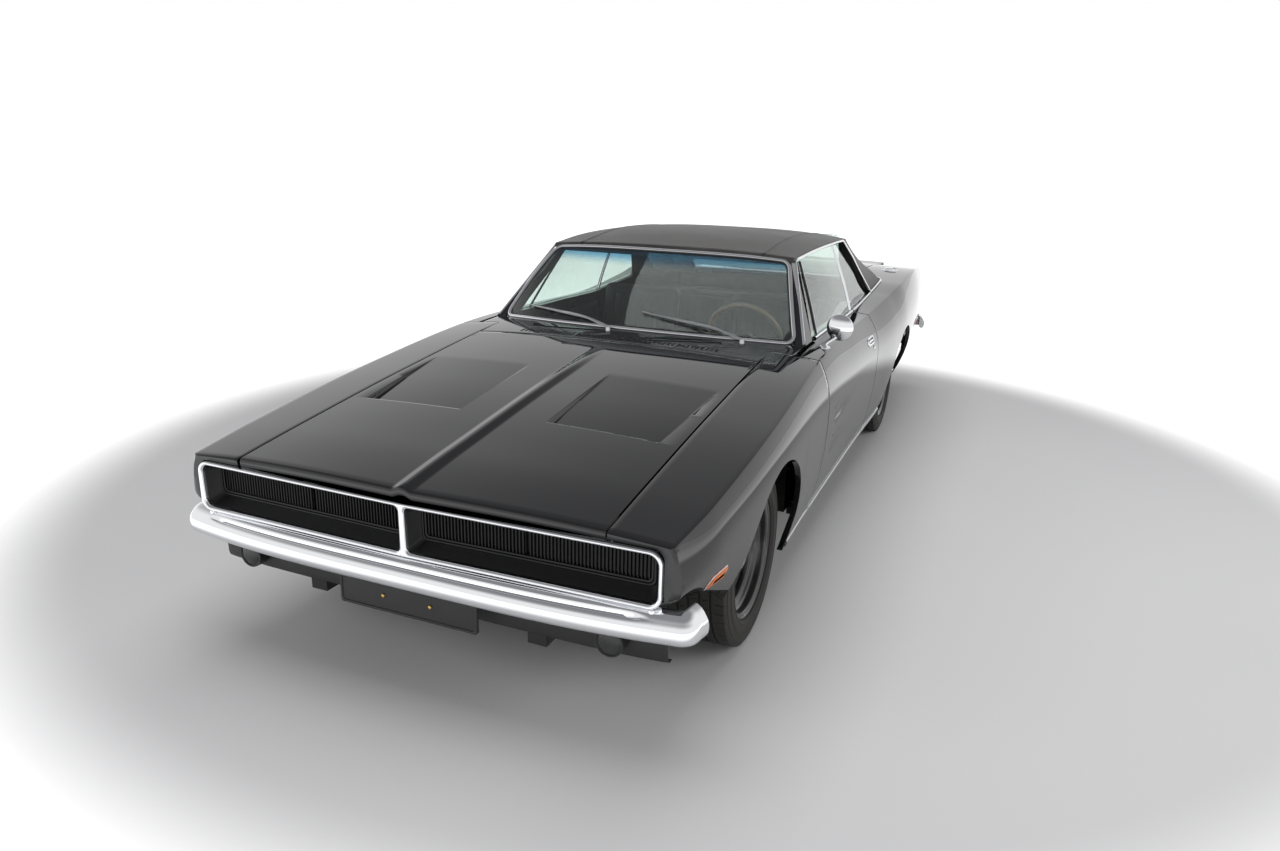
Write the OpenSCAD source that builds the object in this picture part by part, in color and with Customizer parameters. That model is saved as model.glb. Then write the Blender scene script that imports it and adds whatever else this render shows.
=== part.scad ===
// A full-size two-door fastback muscle car.
// Millimetres, +Z up, the front faces -Y and the car's left side is +X.
// The origin lies on the ground, below the middle of the body's box.

/* [Overall] */
// Distance between the front and the rear axle
wheelbase = 2972; // [2700:1:3570]
// From the front axle to the front of the bumper
front_overhang = 950; // [900:1:1140]
// From the rear axle to the back of the bumper
rear_overhang = 1361; // [1250:1:1640]
// Width over the rear fenders
body_w = 1946; // [1900:1:2340]
// Height of the roof above the ground
roof_h = 1351; // [1290:1:1622]

/* [Body] */
// Width of the gaps between panels
gap = 7; // [6:0.5:9]
// Thickness of the outer sheet panels
panel_t = 5; // [3:0.5:8]
// Width of the hood
hood_w = 1344; // [1200:1:1400]
// Width of the rear deck lid
deck_w = 1196; // [1000:1:1240]
// Length of a door
door_l = 1262; // [1150:1:1400]
// From the front axle to the gap in front of the door
door_setback = 767; // [700:1:830]
// From the bumper's front to the painted nose
nose_setback = 78; // [60:1:110]
// From the bumper's back to the painted tail
tail_setback = 62; // [50:1:90]
// Free space round a tyre in its wheel arch
arch_gap = 38; // [25:1:60]
// Thickness of the window glass
glass_t = 5; // [4:0.5:7]
// Thickness of the roof with its lining
roof_t = 28; // [20:1:45]
// Depth of the two recesses in the hood
recess_d = 20; // [5:1:30]

/* [Wheels] */
// Diameter of a tyre
tyre_d = 670; // [558:1:690]
// Width of a tyre
tyre_w = 240; // [200:1:250]
// Diameter of the rims over the bead seats
rim_d = 434; // [380:1:440]
// Distance between the tyre centres of one axle
track = 1500; // [1440:1:1540]
// Diameter of the front spindles
spindle_d = 40; // [30:1:48]
// Diameter of the wheel bolt circle
bolt_circle = 114.3; // [100:0.1:120]
// Diameter of a wheel bolt hole
bolt_d = 14; // [12:0.5:16]

/* [Cabin] */
// Height of the cabin floor above the ground
floor_z = 235; // [200:1:260]
// Diameter of the steering wheel
steering_d = 392; // [340:1:420]
// Width of a front seat
seat_w = 500; // [460:1:520]

/* [Hidden] */
$fn = 64;

// Driving positions along the car
half_w = body_w / 2;
length = front_overhang + wheelbase + rear_overhang;
front_y = -length / 2;
rear_y = length / 2;
front_axle_y = front_y + front_overhang;
rear_axle_y = rear_y - rear_overhang;
axle_z = tyre_d / 2;
nose_y = front_y + nose_setback;
tail_y = rear_y - tail_setback;
door_front_y = front_axle_y + door_setback;
door_rear_y = door_front_y + door_l + gap;
arch_r = tyre_d / 2 + arch_gap;
seat_gap = 0.3;
floor_half_w = half_w - 183;

// The body's lines along the car. Each line is a smooth curve through
// values at these stations, nose to tail.
line_y = [
    nose_y, front_axle_y - 610, front_axle_y, door_front_y,
    (door_front_y + door_rear_y) / 2, door_rear_y, rear_axle_y - 380, rear_axle_y,
    rear_axle_y + 620, tail_y
];
// The crease where the top turns into the side: inset from half_w, and height
shoulder_in = [95, 72, 60, 84, 104, 104, 80, 58, 72, 112];
shoulder_h = [733, 765, 840, 916, 925, 915, 945, 975, 985, 932];
// The widest line of the side
widest_in = [72, 38, 18, 28, 35, 31, 8, 0, 18, 66];
widest_h = [600, 650, 700, 705, 700, 700, 715, 725, 720, 690];
// The lower edge of the painted side
lower_in = [120, 93, 90, 103, 105, 105, 93, 93, 120, 150];
lower_h = [556, 480, 240, 205, 205, 205, 215, 250, 350, 430];
// Height of the top surface on the car's centre line
centre_h = [758, 800, 880, 958, 966, 960, 978, 992, 998, 950];

function span_at(k, t, i = 0) = i >= len(k) - 2 || t < k[i + 1] ? i : span_at(k, t, i + 1);
function slope_at(k, v, i) =
    let (a = max(i - 1, 0), b = min(i + 1, len(k) - 1)) (v[b] - v[a]) / (k[b] - k[a]);
// A smooth curve through the values v at the positions k
function curve(k, v, t) =
    let (i = span_at(k, t), d = k[i + 1] - k[i], u = (t - k[i]) / d,
         m0 = slope_at(k, v, i) * d, m1 = slope_at(k, v, i + 1) * d)
    (2 * u ^ 3 - 3 * u ^ 2 + 1) * v[i] + (u ^ 3 - 2 * u ^ 2 + u) * m0
    + (3 * u ^ 2 - 2 * u ^ 3) * v[i + 1] + (u ^ 3 - u ^ 2) * m1;
function mix(a, b, t) = a + (b - a) * t;
function ease(a, b, t) = let (u = max(0, min(1, (t - a) / (b - a)))) u * u * (3 - 2 * u);
function steps(a, b, n) = [for (i = [0 : n]) mix(a, b, i / n)];
function flipped(list) = [for (i = [len(list) - 1 : -1 : 0]) list[i]];

function shoulder_x(y) = half_w - curve(line_y, shoulder_in, y);
function shoulder_z(y) = curve(line_y, shoulder_h, y);
function lower_x(y) = half_w - curve(line_y, lower_in, y);
function lower_z(y) = curve(line_y, lower_h, y);
function centre_z(y) = curve(line_y, centre_h, y);
// Height of the top surface between the two creases
function top_z(y, x) =
    centre_z(y) - (centre_z(y) - shoulder_z(y)) * (abs(x) / shoulder_x(y)) ^ 2.6;
// Half-width of the side at a height
function side_x(y, z) =
    let (wx = half_w - curve(line_y, widest_in, y), wz = curve(line_y, widest_h, y),
         sx = shoulder_x(y), sz = shoulder_z(y),
         t = max(0, (sz - z) / (sz - wz)), q = max(0, (wz - z) / (wz - lower_z(y))))
    z > wz ? sx + (wx - sx) * (1 - (1 - t) ^ 2.2) : wx - (wx - lower_x(y)) * q ^ 2.2;

// Greenhouse: the side glass stands between the belt and the drip rail
belt_x = half_w - 200;
// The drip rail's inset from half_w and its drop below roof_h, header to rear window
rail_in = [341, 324, 315, 325, 340];
rail_drop = [68, 52, 48, 66, 120];
header_y = door_front_y + 494;
backlight_top_y = rear_axle_y - 600;
backlight_low_y = rear_axle_y - 20;
roof_y = [header_y, header_y + 280, header_y + 580, backlight_top_y, backlight_top_y + 400];
roof_drop = [48, 12, 0, 30, 95];
function rail_x(y) = half_w - curve(roof_y, rail_in, y);
function rail_z(y) = roof_h - curve(roof_y, rail_drop, y);
function roof_z(y, x) =
    let (c = roof_h - curve(roof_y, roof_drop, y)) c - (c - rail_z(y)) * (abs(x) / rail_x(y)) ^ 3;
rail_t = 20;
quarter_tip_y = rear_axle_y - 400;
pillar_tail_y = rear_axle_y + 310;

hood_front_y = nose_y + 8;
hood_rear_y = door_front_y - 186;
hood_t = 20;
hood_under = hood_t + 6;
deck_front_y = rear_axle_y + 90;
deck_rear_y = tail_y - 4;
deck_t = 18;

// A solid through closed outlines of an even number of points
function outline_area(s, i = 0) =
    i == len(s) ? [0, 0, 0]
    : cross(s[i] - s[0], s[(i + 1) % len(s)] - s[0]) + outline_area(s, i + 1);
module loft(s) {
    n = len(s[0]);
    m = len(s);
    ahead = outline_area(s[0]) * (s[1][0] - s[0][0]) > 0;
    sides = [for (i = [0 : m - 2], j = [0 : n - 1])
        let (a = i * n + j, b = i * n + (j + 1) % n, c = a + n, d = b + n)
        each [[a, c, d], [a, d, b]]];
    ends = [for (j = [0 : n / 2 - 2], e = [0, 1])
        let (k = n - 1 - j, o = e * (m - 1) * n,
            quad = [[o + j, o + j + 1, o + k - 1], [o + j, o + k - 1, o + k]])
        each [for (f = quad) e == 0 ? f : flipped(f)]];
    faces = concat(sides, ends);
    polyhedron([for (o = s, p = o) p], [for (f = faces) ahead ? f : flipped(f)], convexity = 8);
}
// An outline in the XZ plane, moved to a place along the car
function at_y(line, y) = [for (p = line) [p[0], y, p[1]]];
function at_x(line, x) = [for (p = line) [x, p[0], p[1]]];
// A line's parallel copy, a thickness to its right-hand side
function inset(line, t) = [for (i = [0 : len(line) - 1])
    let (d = line[min(i + 1, len(line) - 1)] - line[max(i - 1, 0)])
    line[i] + t * [d[1], -d[0]] / norm(d)];
function sheet(line, t) = concat(line, flipped(inset(line, t)));
module both_sides() {
    children();
    mirror([1, 0, 0]) children();
}
module box(lo, hi) translate(lo) cube(hi - lo);

// Half of the painted shell: from an inner edge over the crease and down the side
function shell_line(y, inner_x, low_z, rows) = concat(
    [for (x = steps(inner_x, shoulder_x(y), 3)) [x, top_z(y, x)]],
    [for (i = [1 : rows]) let (z = mix(shoulder_z(y), low_z, i / rows)) [side_x(y, z), z]]);
// Stations along a panel with a wheel arch: place and lower edge
function arch_stations(axle_y) = concat(
    [[axle_y - arch_r - 1, lower_z(axle_y - arch_r)]],
    [for (a = [-90 : 15 : 90]) [axle_y + arch_r * sin(a), axle_z + arch_r * cos(a)]],
    [[axle_y + arch_r + 1, lower_z(axle_y + arch_r)]]);

// Where the door's window sill steps inboard, behind the windshield post
sill_y = [door_front_y + 286, door_front_y + 338];
// The door turns on a vertical axis just inside its skin, behind its front gap
door_hinge_y = door_front_y + gap / 2 + 60;
door_inner_x = floor_half_w + 8;
module front_fender() {
    stations = concat(
        [for (y = steps(nose_y, front_axle_y - arch_r - 40, 7)) [y, lower_z(y)]],
        arch_stations(front_axle_y),
        [for (y = steps(front_axle_y + arch_r + 60, door_front_y - gap / 2, 4)) [y, lower_z(y)]]);
    color("#101114")
        loft([for (s = stations)
            at_y(sheet(shell_line(s[0], hood_w / 2 + gap, s[1], 10), panel_t), s[0])]);
}

// A panel as thick as the cabin wall, thinned to its skin where solid is 0
function wall_section(y, inner_x, low_z, rows, solid) =
    let (skin = 8, line = shell_line(y, inner_x, low_z, rows), top = top_z(y, inner_x),
         inner = [for (j = [0 : len(line) - 1])
            let (p = line[j], thin = [p[0] - (j > 2 ? skin : 0), p[1] - (j > 3 ? 0 : skin)],
                 z = j < 4 ? top - skin - 20 * j : mix(top - skin - 60, low_z, (j - 3) / rows),
                 full = [mix(door_inner_x, inner_x + 2, (z - low_z) / (top - low_z)), z])
            mix(thin, full, solid)])
    concat(line, flipped(inner));

// The quarter panel's top runs inboard to the roof pillar, then to the deck lid
function quarter_in(y) = mix(belt_x - 14, deck_w / 2 + gap, ease(rear_axle_y - 40, pillar_tail_y, y));
rocker_top = 268;
module quarter_panel() {
    rear_arch = arch_stations(rear_axle_y);
    wall_end_y = rear_arch[0][0] - 20;
    stations = concat(
        [for (y = steps(door_rear_y + gap / 2, wall_end_y, 5)) [y, rocker_top]],
        [[rear_arch[0][0], rocker_top]],
        [for (i = [1 : len(rear_arch) - 1]) rear_arch[i]],
        [for (y = steps(rear_axle_y + arch_r + 60, tail_y, 7)) [y, lower_z(y)]]);
    color("#101114")
        loft([for (s = stations)
            let (solid = ease(door_rear_y + 10, door_rear_y + 60, s[0]) * ease(wall_end_y,
                wall_end_y - 60, s[0]))
            at_y(wall_section(s[0], quarter_in(s[0]), s[1], 10, solid), s[0])]);
}

// Roof skin and lining, from the windshield header to the rear window
module roof_panel() {
    color("#1b1c1e") {
        loft([for (y = steps(header_y - 10, backlight_top_y + 10, 14))
            let (xs = steps(-rail_x(y), rail_x(y), 14))
            at_y(concat([for (x = xs) [x, roof_z(y, x)]],
                        [for (x = flipped(xs)) [x * 0.96,
                            roof_z(y, x) - mix(roof_t, rail_t, (x / rail_x(y)) ^ 2)]]),
                 y)]);
        both_sides() roof_pillar();
    }
}
// The long rear roof pillar, which runs down beside the sunk rear window
pillar_in_x = deck_w / 2 + gap;
function pillar_front_y(w) = quarter_tip_y + 10 - 340 * w ^ 1.3;
function pillar_out_x(y) = mix(belt_x + 10, pillar_in_x + 16, ease(rear_axle_y - 40, pillar_tail_y, y));
function pillar_top_z(y) =
    let (high = rail_z(min(y, backlight_top_y)) - rail_t - seat_gap,
         t = max(0, (y - backlight_top_y) / (pillar_tail_y - backlight_top_y)))
    mix(high, top_z(y, pillar_in_x) + 4, t ^ 0.95);
module roof_pillar() {
    rows = 6;
    cols = 10;
    loft([for (i = [0 : cols])
        [for (j = [0 : 2 * rows + 1])
            let (out = j <= rows, w = (out ? j : 2 * rows + 1 - j) / rows,
                 y = mix(pillar_front_y(w), pillar_tail_y - 6, i / cols),
                 lo = top_z(y, quarter_in(y)) + 2 * seat_gap,
                 crest_x = min(rail_x(min(y, backlight_top_y)) - 4, pillar_out_x(y)))
            [out ? mix(pillar_out_x(y), crest_x, w) + 10 * sin(180 * w)
                 : mix(pillar_in_x, crest_x - 12, w ^ 3),
             y, mix(lo, max(pillar_top_z(y), lo + 3), w)]]]);
}

// Windshield: a bent sheet between the cowl and the header
function shield_low_y(u) = door_front_y + 24 + 135 * abs(u) ^ 2.5;
function shield_low(u) = let (x = (belt_x - 34) * u, y = shield_low_y(u)) [x, y, top_z(y, x) + seat_gap];
function shield_high(u) =
    let (x = (rail_x(header_y) - 22) * u, y = header_y - 54 + 40 * u ^ 2) [x, y,
        roof_z(header_y, x) - 16];
function shield_point(u, w, depth) =
    mix(shield_low(u), shield_high(u), w)
        + [0, -14 * sin(180 * w) + depth * 0.55, 10 * sin(180 * w) - depth * 0.83];
module windshield() {
    rows = 5;
    color("#5f7268", 0.5)
        loft([for (u = steps(-1, 1, 16))
            concat([for (w = steps(0, 1, rows)) shield_point(u, w, 0)],
                   [for (w = steps(1, 0, rows)) shield_point(u, w, glass_t)
                       + [0, 0, w == 0 ? glass_t * 0.83 : 0]])]);
}
// Rear window, sunk between the roof pillars
function backlight_point(u, w) =
    let (x = (pillar_in_x - 0.6) * u, y = mix(backlight_top_y + 12, backlight_low_y, w))
    [x, y, mix(roof_z(backlight_top_y, 0) - 12, top_z(backlight_low_y, 0) + 7, w) - 12 * u ^ 2 * (1 - w)
        - 18 * sin(180 * w)];
module rear_window() {
    color("#5f7268", 0.5)
        loft([for (w = steps(0, 1, 6))
            concat([for (u = steps(-1, 1, 12)) backlight_point(u, w)],
                   [for (u = steps(1, -1, 12)) backlight_point(u, w) - [0, 0, glass_t]])]);
}
// Side glass between two slanted ends, standing on the belt
module side_glass(front_low_y, front_high_y, rear_low_y, rear_high_y, top_gap) {
    cols = 6;
    rows = 6;
    color("#5f7268", 0.5)
        loft([for (i = [0 : cols])
            [for (j = [0 : 2 * rows + 1])
                let (out = j <= rows, w = (out ? j : 2 * rows + 1 - j) / rows,
                     y = mix(mix(front_low_y, front_high_y, w),
                         mix(rear_low_y, rear_high_y, w ^ 1.3), i / cols),
                     x_low = belt_x - 2, x_high = rail_x(y) - 16)
                [mix(x_low, x_high, w) + 8 * sin(180 * w) - (out ? 0 : glass_t), y,
                 mix(top_z(y, x_low - glass_t) + seat_gap, pillar_top_z(y) + seat_gap - top_gap, w)]]]);
}
glass_front_y = door_front_y + 350;
glass_rear_y = door_rear_y - gap / 2 - 6;
module door_glass() side_glass(glass_front_y, header_y + 90, glass_rear_y, glass_rear_y, gap);
module quarter_windows()
    both_sides()
        side_glass(door_rear_y + gap / 2 + 6, door_rear_y + gap / 2 + 6,
                   pillar_front_y(0) - 7, pillar_front_y(1) - 7, seat_gap);

// Roof posts beside the windshield, the header and the hinge pillars below
module windshield_frame() {
    post_top = [rail_x(header_y) - 16, header_y - 6, rail_z(header_y) - rail_t - seat_gap];
    color("#101114") {
        both_sides() {
            hull() {
                box([belt_x - 32, door_front_y + 160, top_z(door_front_y + 160, belt_x - 32) - 8],
                    [belt_x + 16, door_front_y + 276, top_z(door_front_y + 276, belt_x - 32) + 2]);
                box(post_top - [22, 0, 6], post_top + [0, 72, 0]);
            }
            box([belt_x - 6, door_front_y + 12, floor_z], [belt_x + 14, door_front_y + 110, 900]);
            for (z = [400, 740]) box([belt_x + 13, door_hinge_y + 4, z],
                [door_inner_x - 0.5, door_hinge_y + 40, z + 60]);
        }
        box([-rail_x(header_y) + 30, header_y + 12, rail_z(header_y) - rail_t - 22],
            [rail_x(header_y) - 30, header_y + 60, rail_z(header_y) - rail_t - seat_gap]);
    }
}

// Cowl: the vented panel between the hood and the windshield, and the firewall
firewall_y = door_front_y - 46;
module cowl_panel() {
    edge_x = hood_w / 2;
    side = steps(edge_x + 5, belt_x + 5, 3);
    mid = steps(-edge_x + 2, edge_x - 2, 12);
    color("#101114") {
        loft([for (x = concat(flipped([for (v = side) -v]), mid, side))
            let (ys = steps(abs(x) < edge_x ? hood_rear_y + gap : door_front_y + gap / 2,
                            min(shield_low_y(min(1, abs(x) / (belt_x - 34))) + 14, door_front_y
                                + 160 - seat_gap), 4))
            at_x(concat([for (y = ys) [y, top_z(y, x)]],
                [for (y = flipped(ys)) [y, top_z(y, x) - 10]]), x)]);
        difference() {
            union() {
                box([-620, firewall_y, floor_z],
                    [620, firewall_y + 6 - seat_gap, top_z(firewall_y, 620) - 11]);
                box([-floor_half_w, firewall_y, floor_z - floor_t + seat_gap],
                    [floor_half_w, firewall_y + 6 - seat_gap, 560]);
            }
            box([-tunnel_w / 2, firewall_y - 1, 0], [tunnel_w / 2, firewall_y + 7, tunnel_z]);
        }
        both_sides() {
            hinge_z = top_z(hood_rear_y - 50, edge_x - 50) - hood_under - 0.6;
            box([edge_x - 90, hood_rear_y - 50, hinge_z - 40], [edge_x - 50, firewall_y, hinge_z]);
        }
    }
}

// Hood with two sharp-edged recesses, deepest at their front, and a centre ridge
recess_front_y = front_axle_y - 310;
recess_rear_y = front_axle_y + 190;
recess_in_x = 180;
function recess_out_x(y) = mix(600, 636, (y - recess_front_y) / (recess_rear_y - recess_front_y));
function hood_z(y, x) =
    let (ridge = 9 * (1 - ease(0, 70, abs(x))) * (1 - ease(front_axle_y, hood_rear_y, y)),
         depth = recess_d * max(0, min(1, (recess_rear_y - y) / (recess_rear_y - recess_front_y))),
         inside = ease(recess_in_x - 3, recess_in_x + 3, abs(x)) * ease(recess_out_x(y) + 3,
             recess_out_x(y) - 3, abs(x)))
    top_z(y, x) + ridge - (y > recess_front_y - 1 ? depth * inside : 0);
module hood() {
    half = hood_w / 2;
    ys = concat(steps(hood_front_y, recess_front_y - 8, 6), [recess_front_y - 2, recess_front_y + 2],
                steps(recess_front_y + 40, recess_rear_y, 6), steps(recess_rear_y + 40, hood_rear_y, 5));
    color("#101114")
        loft([for (y = ys)
            let (right = [0, 20, 45, 70, 110, recess_in_x - 3, recess_in_x + 3, 250, 340, 430, 520,
                          recess_out_x(y) - 3, recess_out_x(y) + 3, half],
                 xs = concat([for (i = [len(right) - 1 : -1 : 1]) -right[i]], right),
                 lead = 26 * ease(hood_front_y + 400, hood_front_y, y))
            concat([for (x = xs) [x, y - lead * (1 - abs(x) / half), hood_z(y, x)]],
                   [for (x = flipped(xs)) [x, y - lead * (1 - abs(x) / half),
                       top_z(y, x) - hood_under]])]);
}
module deck_lid() {
    half = deck_w / 2;
    color("#101114")
        loft([for (y = steps(deck_front_y, deck_rear_y, 12))
            let (lip = 12 * ease(deck_rear_y - 220, deck_rear_y, y))
            concat([for (x = steps(-half, half, 12)) [x, y, top_z(y, x) + lip]],
                   [for (x = steps(half, -half, 12)) [x, y, top_z(y, x) - deck_t]])]);
}
// Body panel between the rear window and the deck lid, with the parcel shelf below
module rear_deck_panel() {
    half = pillar_in_x - seat_gap;
    color("#101114") {
        loft([for (y = [backlight_low_y - 34, backlight_low_y, deck_front_y - gap])
            concat([for (x = steps(-half, half, 12)) [x, y, top_z(y, x)
                + 1 - (y < backlight_low_y ? 10 : 0)]],
                   [for (x = steps(half, -half, 12)) [x, y, top_z(y, x) - 18]])]);
        box([-half + 22, kick_y + 130, 850], [half - 22, backlight_low_y - 34 - seat_gap, 862]);
        box([-half + 22, kick_y + 130, rear_floor_z + seat_gap], [half - 22, kick_y + 136, 850]);
        box([-half + 22, backlight_low_y - 40, 850], [half - 22, backlight_low_y - 34 - seat_gap, 960]);
        both_sides() {
            hinge_z = top_z(deck_front_y, half - 80) - deck_t - 0.6;
            box([half - 120, deck_front_y - gap - 10, hinge_z - 30],
                [half - 80, deck_front_y + 50, hinge_z]);
        }
    }
}

module door() {
    front = door_front_y + gap / 2;
    rear = door_rear_y - gap / 2;
    stations = concat([front, front + 14, front + 50, front + 160, sill_y[0], sill_y[1]],
                      steps(sill_y[1] + 90, rear - 70, 6), [rear - 36, rear - 14, rear]);
    color("#101114")
        loft([for (y = stations)
            let (solid = ease(front + 10, front + 50, y) * ease(rear - 10, rear - 36, y),
                 inner_x = mix(belt_x + 28, belt_x - 40, ease(sill_y[0], sill_y[1], y)))
            at_y(wall_section(y, inner_x, rocker_top + gap, 9, solid), y)]);
}
// Sill below the doors
module rocker_panels() {
    front = door_front_y + gap / 2;
    rear = rear_axle_y - arch_r - 4;
    color("#101114") both_sides()
        loft([for (y = steps(front, rear, 6))
            let (zs = steps(rocker_top - seat_gap, lower_z(y), 3))
            at_y(concat([for (z = zs) [side_x(y, z), z]],
                [for (z = flipped(zs)) [floor_half_w + seat_gap, z]]), y)]);
}
module front_valance() {
    half = half_w - 128;
    color("#101114")
        loft([for (x = steps(-half, half, 8))
            at_x([[nose_y + 12, grille_low_z - seat_gap], [nose_y + 40, 500], [nose_y + 40, 330],
                  [nose_y + 45, 330], [nose_y + 45, 501], [nose_y + 17, grille_low_z - seat_gap]], x)]);
}

// Unibody floor: foot wells, tunnel, raised rear floor and the rails below
floor_t = 6;
rail_out_x = 455;
rear_floor_z = 480;
kick_y = rear_axle_y - 400;
tunnel_w = 300;
tunnel_z = 410;
module floor_pan() {
    rear_half = track / 2 - tyre_w / 2 - 45;
    color("#1a1b1d") {
        both_sides() {
            box([tunnel_w / 2, firewall_y + 6, floor_z - floor_t], [floor_half_w, kick_y, floor_z]);
            box([tunnel_w / 2 - floor_t, firewall_y + 6, floor_z - floor_t],
                [tunnel_w / 2, kick_y, tunnel_z]);
            box([rail_out_x - 65, nose_y + 45 + seat_gap, 300], [rail_out_x, firewall_y - seat_gap, 400]);
            box([rail_out_x - 65, firewall_y - 60, floor_z - 70],
                [rail_out_x, kick_y - 200, floor_z - floor_t]);
            box([rail_out_x - 65, firewall_y - 60, floor_z - 70],
                [rail_out_x, firewall_y - seat_gap, 400]);
            box([rear_half - 70, kick_y, rear_floor_z - 80], [rear_half, tail_y - 70, rear_floor_z]);
        }
        box([-tunnel_w / 2, firewall_y + 6, tunnel_z - floor_t], [tunnel_w / 2, kick_y, tunnel_z]);
        box([-floor_half_w, kick_y - floor_t, floor_z - floor_t], [floor_half_w, kick_y, floor_z]);
        difference() {
            box([-rear_half, kick_y - floor_t, floor_z - floor_t], [rear_half, kick_y, rear_floor_z]);
            box([-tunnel_w / 2 + floor_t, kick_y - 99, floor_z - 99],
                [tunnel_w / 2 - floor_t, kick_y + 1, tunnel_z - floor_t]);
        }
        box([-rear_half, kick_y - floor_t, rear_floor_z - floor_t],
            [rear_half, tail_y - 30 - seat_gap, rear_floor_z]);
    }
}
// Inner fenders over the front wheels, wheelhouses over the rear ones, radiator support
module inner_fenders() {
    apron_y = [nose_y + 120, firewall_y - 80];
    top_x = hood_w / 2 + gap + 6;
    wall_x = rail_out_x + seat_gap;
    color("#1a1b1d") {
        both_sides() {
            loft([for (y = steps(apron_y[0], apron_y[1], 8))
                let (zt = top_z(y, top_x + 5) - panel_t - 1, zs = 722)
                at_y([[top_x + 5, zt], [top_x + 5, zs + 5], [wall_x + 5, zs], [wall_x + 5, 310],
                      [wall_x, 310], [wall_x, zs + 5], [top_x, zs + 10], [top_x, zt]], y)]);
            translate([track / 2 - tyre_w / 2 - 45 + seat_gap, rear_axle_y, axle_z])
                rotate([90, 0, 90]) difference() {
                    cylinder(r = arch_r + 8, h = 250);
                    translate([0, 0, 5]) cylinder(r = arch_r + 3, h = 250);
                    translate([-900, -1800 + 60, -1]) cube([1800, 1800, 400]);
                }
        }
        box([-rail_out_x + 65 + seat_gap, nose_y + 150, 310],
            [rail_out_x - 65 - seat_gap, nose_y + 200, 700]);
    }
}
module tail_panel() {
    half_line = [for (z = steps(450, 900, 10)) [side_x(tail_y, z) - 11, z]];
    top_line = [for (x = [half_line[10][0] - 20, deck_w / 2, 300, 0]) [x, top_z(tail_y, x) - 30]];
    right = concat([[0, 450]], half_line, top_line);
    color("#101114") {
        translate([0, tail_y, 0]) rotate([90, 0, 0]) linear_extrude(30) difference() {
            union() {
                polygon(right);
                mirror([1, 0]) polygon(right);
            }
            for (x = [-770, 30]) translate([x, 745]) square([740, 105]);
        }
        loft([for (x = steps(-half_w + 175, half_w - 175, 8))
            at_x([[tail_y - 30, 449.7], [tail_y - 26, 449.7], [tail_y - 60, 360],
                [tail_y - 66, 360]], x)]);
    }
}
module tail_lamps()
    color("#7a1414")
        for (x = [-770 + seat_gap, 30 + seat_gap])
            box([x, tail_y - 36, 745 + seat_gap], [x + 740 - 2 * seat_gap, tail_y - 6, 850 - seat_gap]);

// Chromed bumpers, swept along half an outline and its mirror image
function bumper_plan(out, reach, wrap) = [
    [0, 0], [out * 0.5, reach * 0.08], [out * 0.82, reach * 0.3], [out * 0.94, reach * 0.55],
    [out * 0.985, reach], [out, wrap]];
module bumper(plan, profile, z) {
    line = concat(flipped([for (i = [1 : len(plan) - 1]) [-plan[i][0], plan[i][1]]]), plan);
    loft([for (i = [0 : len(line) - 1])
        let (d = line[min(i + 1, len(line) - 1)] - line[max(i - 1, 0)], n = [d[1], -d[0]] / norm(d))
        [for (p = profile) [line[i][0] + n[0] * p[0], line[i][1] + n[1] * p[0], z + p[1]]]]);
}
bumper_profile = [[-34, -42], [-12, -48], [-2, -30], [0, 0], [-3, 30], [-12, 44], [-24, 48], [-34, 42]];
module front_bumper()
    color("silver") {
        translate([0, front_y, 0]) bumper(bumper_plan(half_w - 12, 100, 150), bumper_profile, 492);
        both_sides() box([380, front_y + 30, 462], [440, nose_y + 40 - seat_gap, 496]);
    }
module rear_bumper()
    color("silver") {
        translate([0, rear_y, 0]) mirror([0, 1, 0])
            bumper(bumper_plan(half_w - 18, 26, 150), bumper_profile, 535);
        both_sides() box([380, tail_y + seat_gap, 515], [440, rear_y - 30, 555]);
    }

// Grille: two openings in a bright frame, which meet at a divider in a shallow V
grille_half_w = half_w - 122;
grille_low_z = 542;
grille_high_z = 718;
grille_rake = 1.2;
frame_w = 14;
module grille_half(depth) rotate([90, 0, grille_rake]) mirror([0, 0, 1]) linear_extrude(depth) children();
module opening_outline(inset_w) {
    r = 34 - inset_w;
    hull() {
        translate([0, grille_low_z + inset_w]) square([1, grille_high_z - grille_low_z - 2 * inset_w]);
        for (z = [grille_low_z + 34, grille_high_z - 34]) translate([grille_half_w - 34, z]) circle(r);
    }
}
module grille_surround()
    color("silver") translate([0, nose_y - 40, 0]) both_sides()
        grille_half(75) difference() {
            opening_outline(0);
            intersection() {
                opening_outline(frame_w);
                translate([frame_w / 2 + 4, 0]) square([half_w, 2000]);
            }
        }
module grille() {
    pitch = 26;
    count = floor((grille_half_w - 60) / pitch);
    low = grille_low_z + frame_w + seat_gap;
    color("#0c0c0d") translate([0, nose_y - 40, 0]) both_sides()
        rotate([0, 0, grille_rake]) translate([0, 0, low])
            linear_extrude(grille_high_z - grille_low_z - 2 * frame_w - 2 * seat_gap)
            polygon(concat(
                [[16, 74], [grille_half_w - 50, 74], [grille_half_w - 50, 60]],
                [for (i = [count - 1 : -1 : 0]) let (x = 24 + i * pitch)
                    each [[x + 5, 60], [x + 4, 40], [x + 1, 40], [x, 60]]],
                [[16, 60]]));
}

lamp_x = half_w - 291;
module marker_lamps() {
    color("orange") both_sides() {
        translate([lamp_x, nose_y + 40 - seat_gap, 385]) rotate([90, 0, 0]) cylinder(d = 92, h = 34);
        for (y = [front_axle_y - 635, rear_axle_y + 800])
            let (z = y < 0 ? 522 : 600, x = max(side_x(y, z + 14), side_x(y + 90, z + 14)))
            box([x + 0.6, y, z - 14], [x + 9, y + 100, z + 14]);
    }
}
// The blank license plate in its holder
plate_w = 520;
plate_h = 112;
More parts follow.
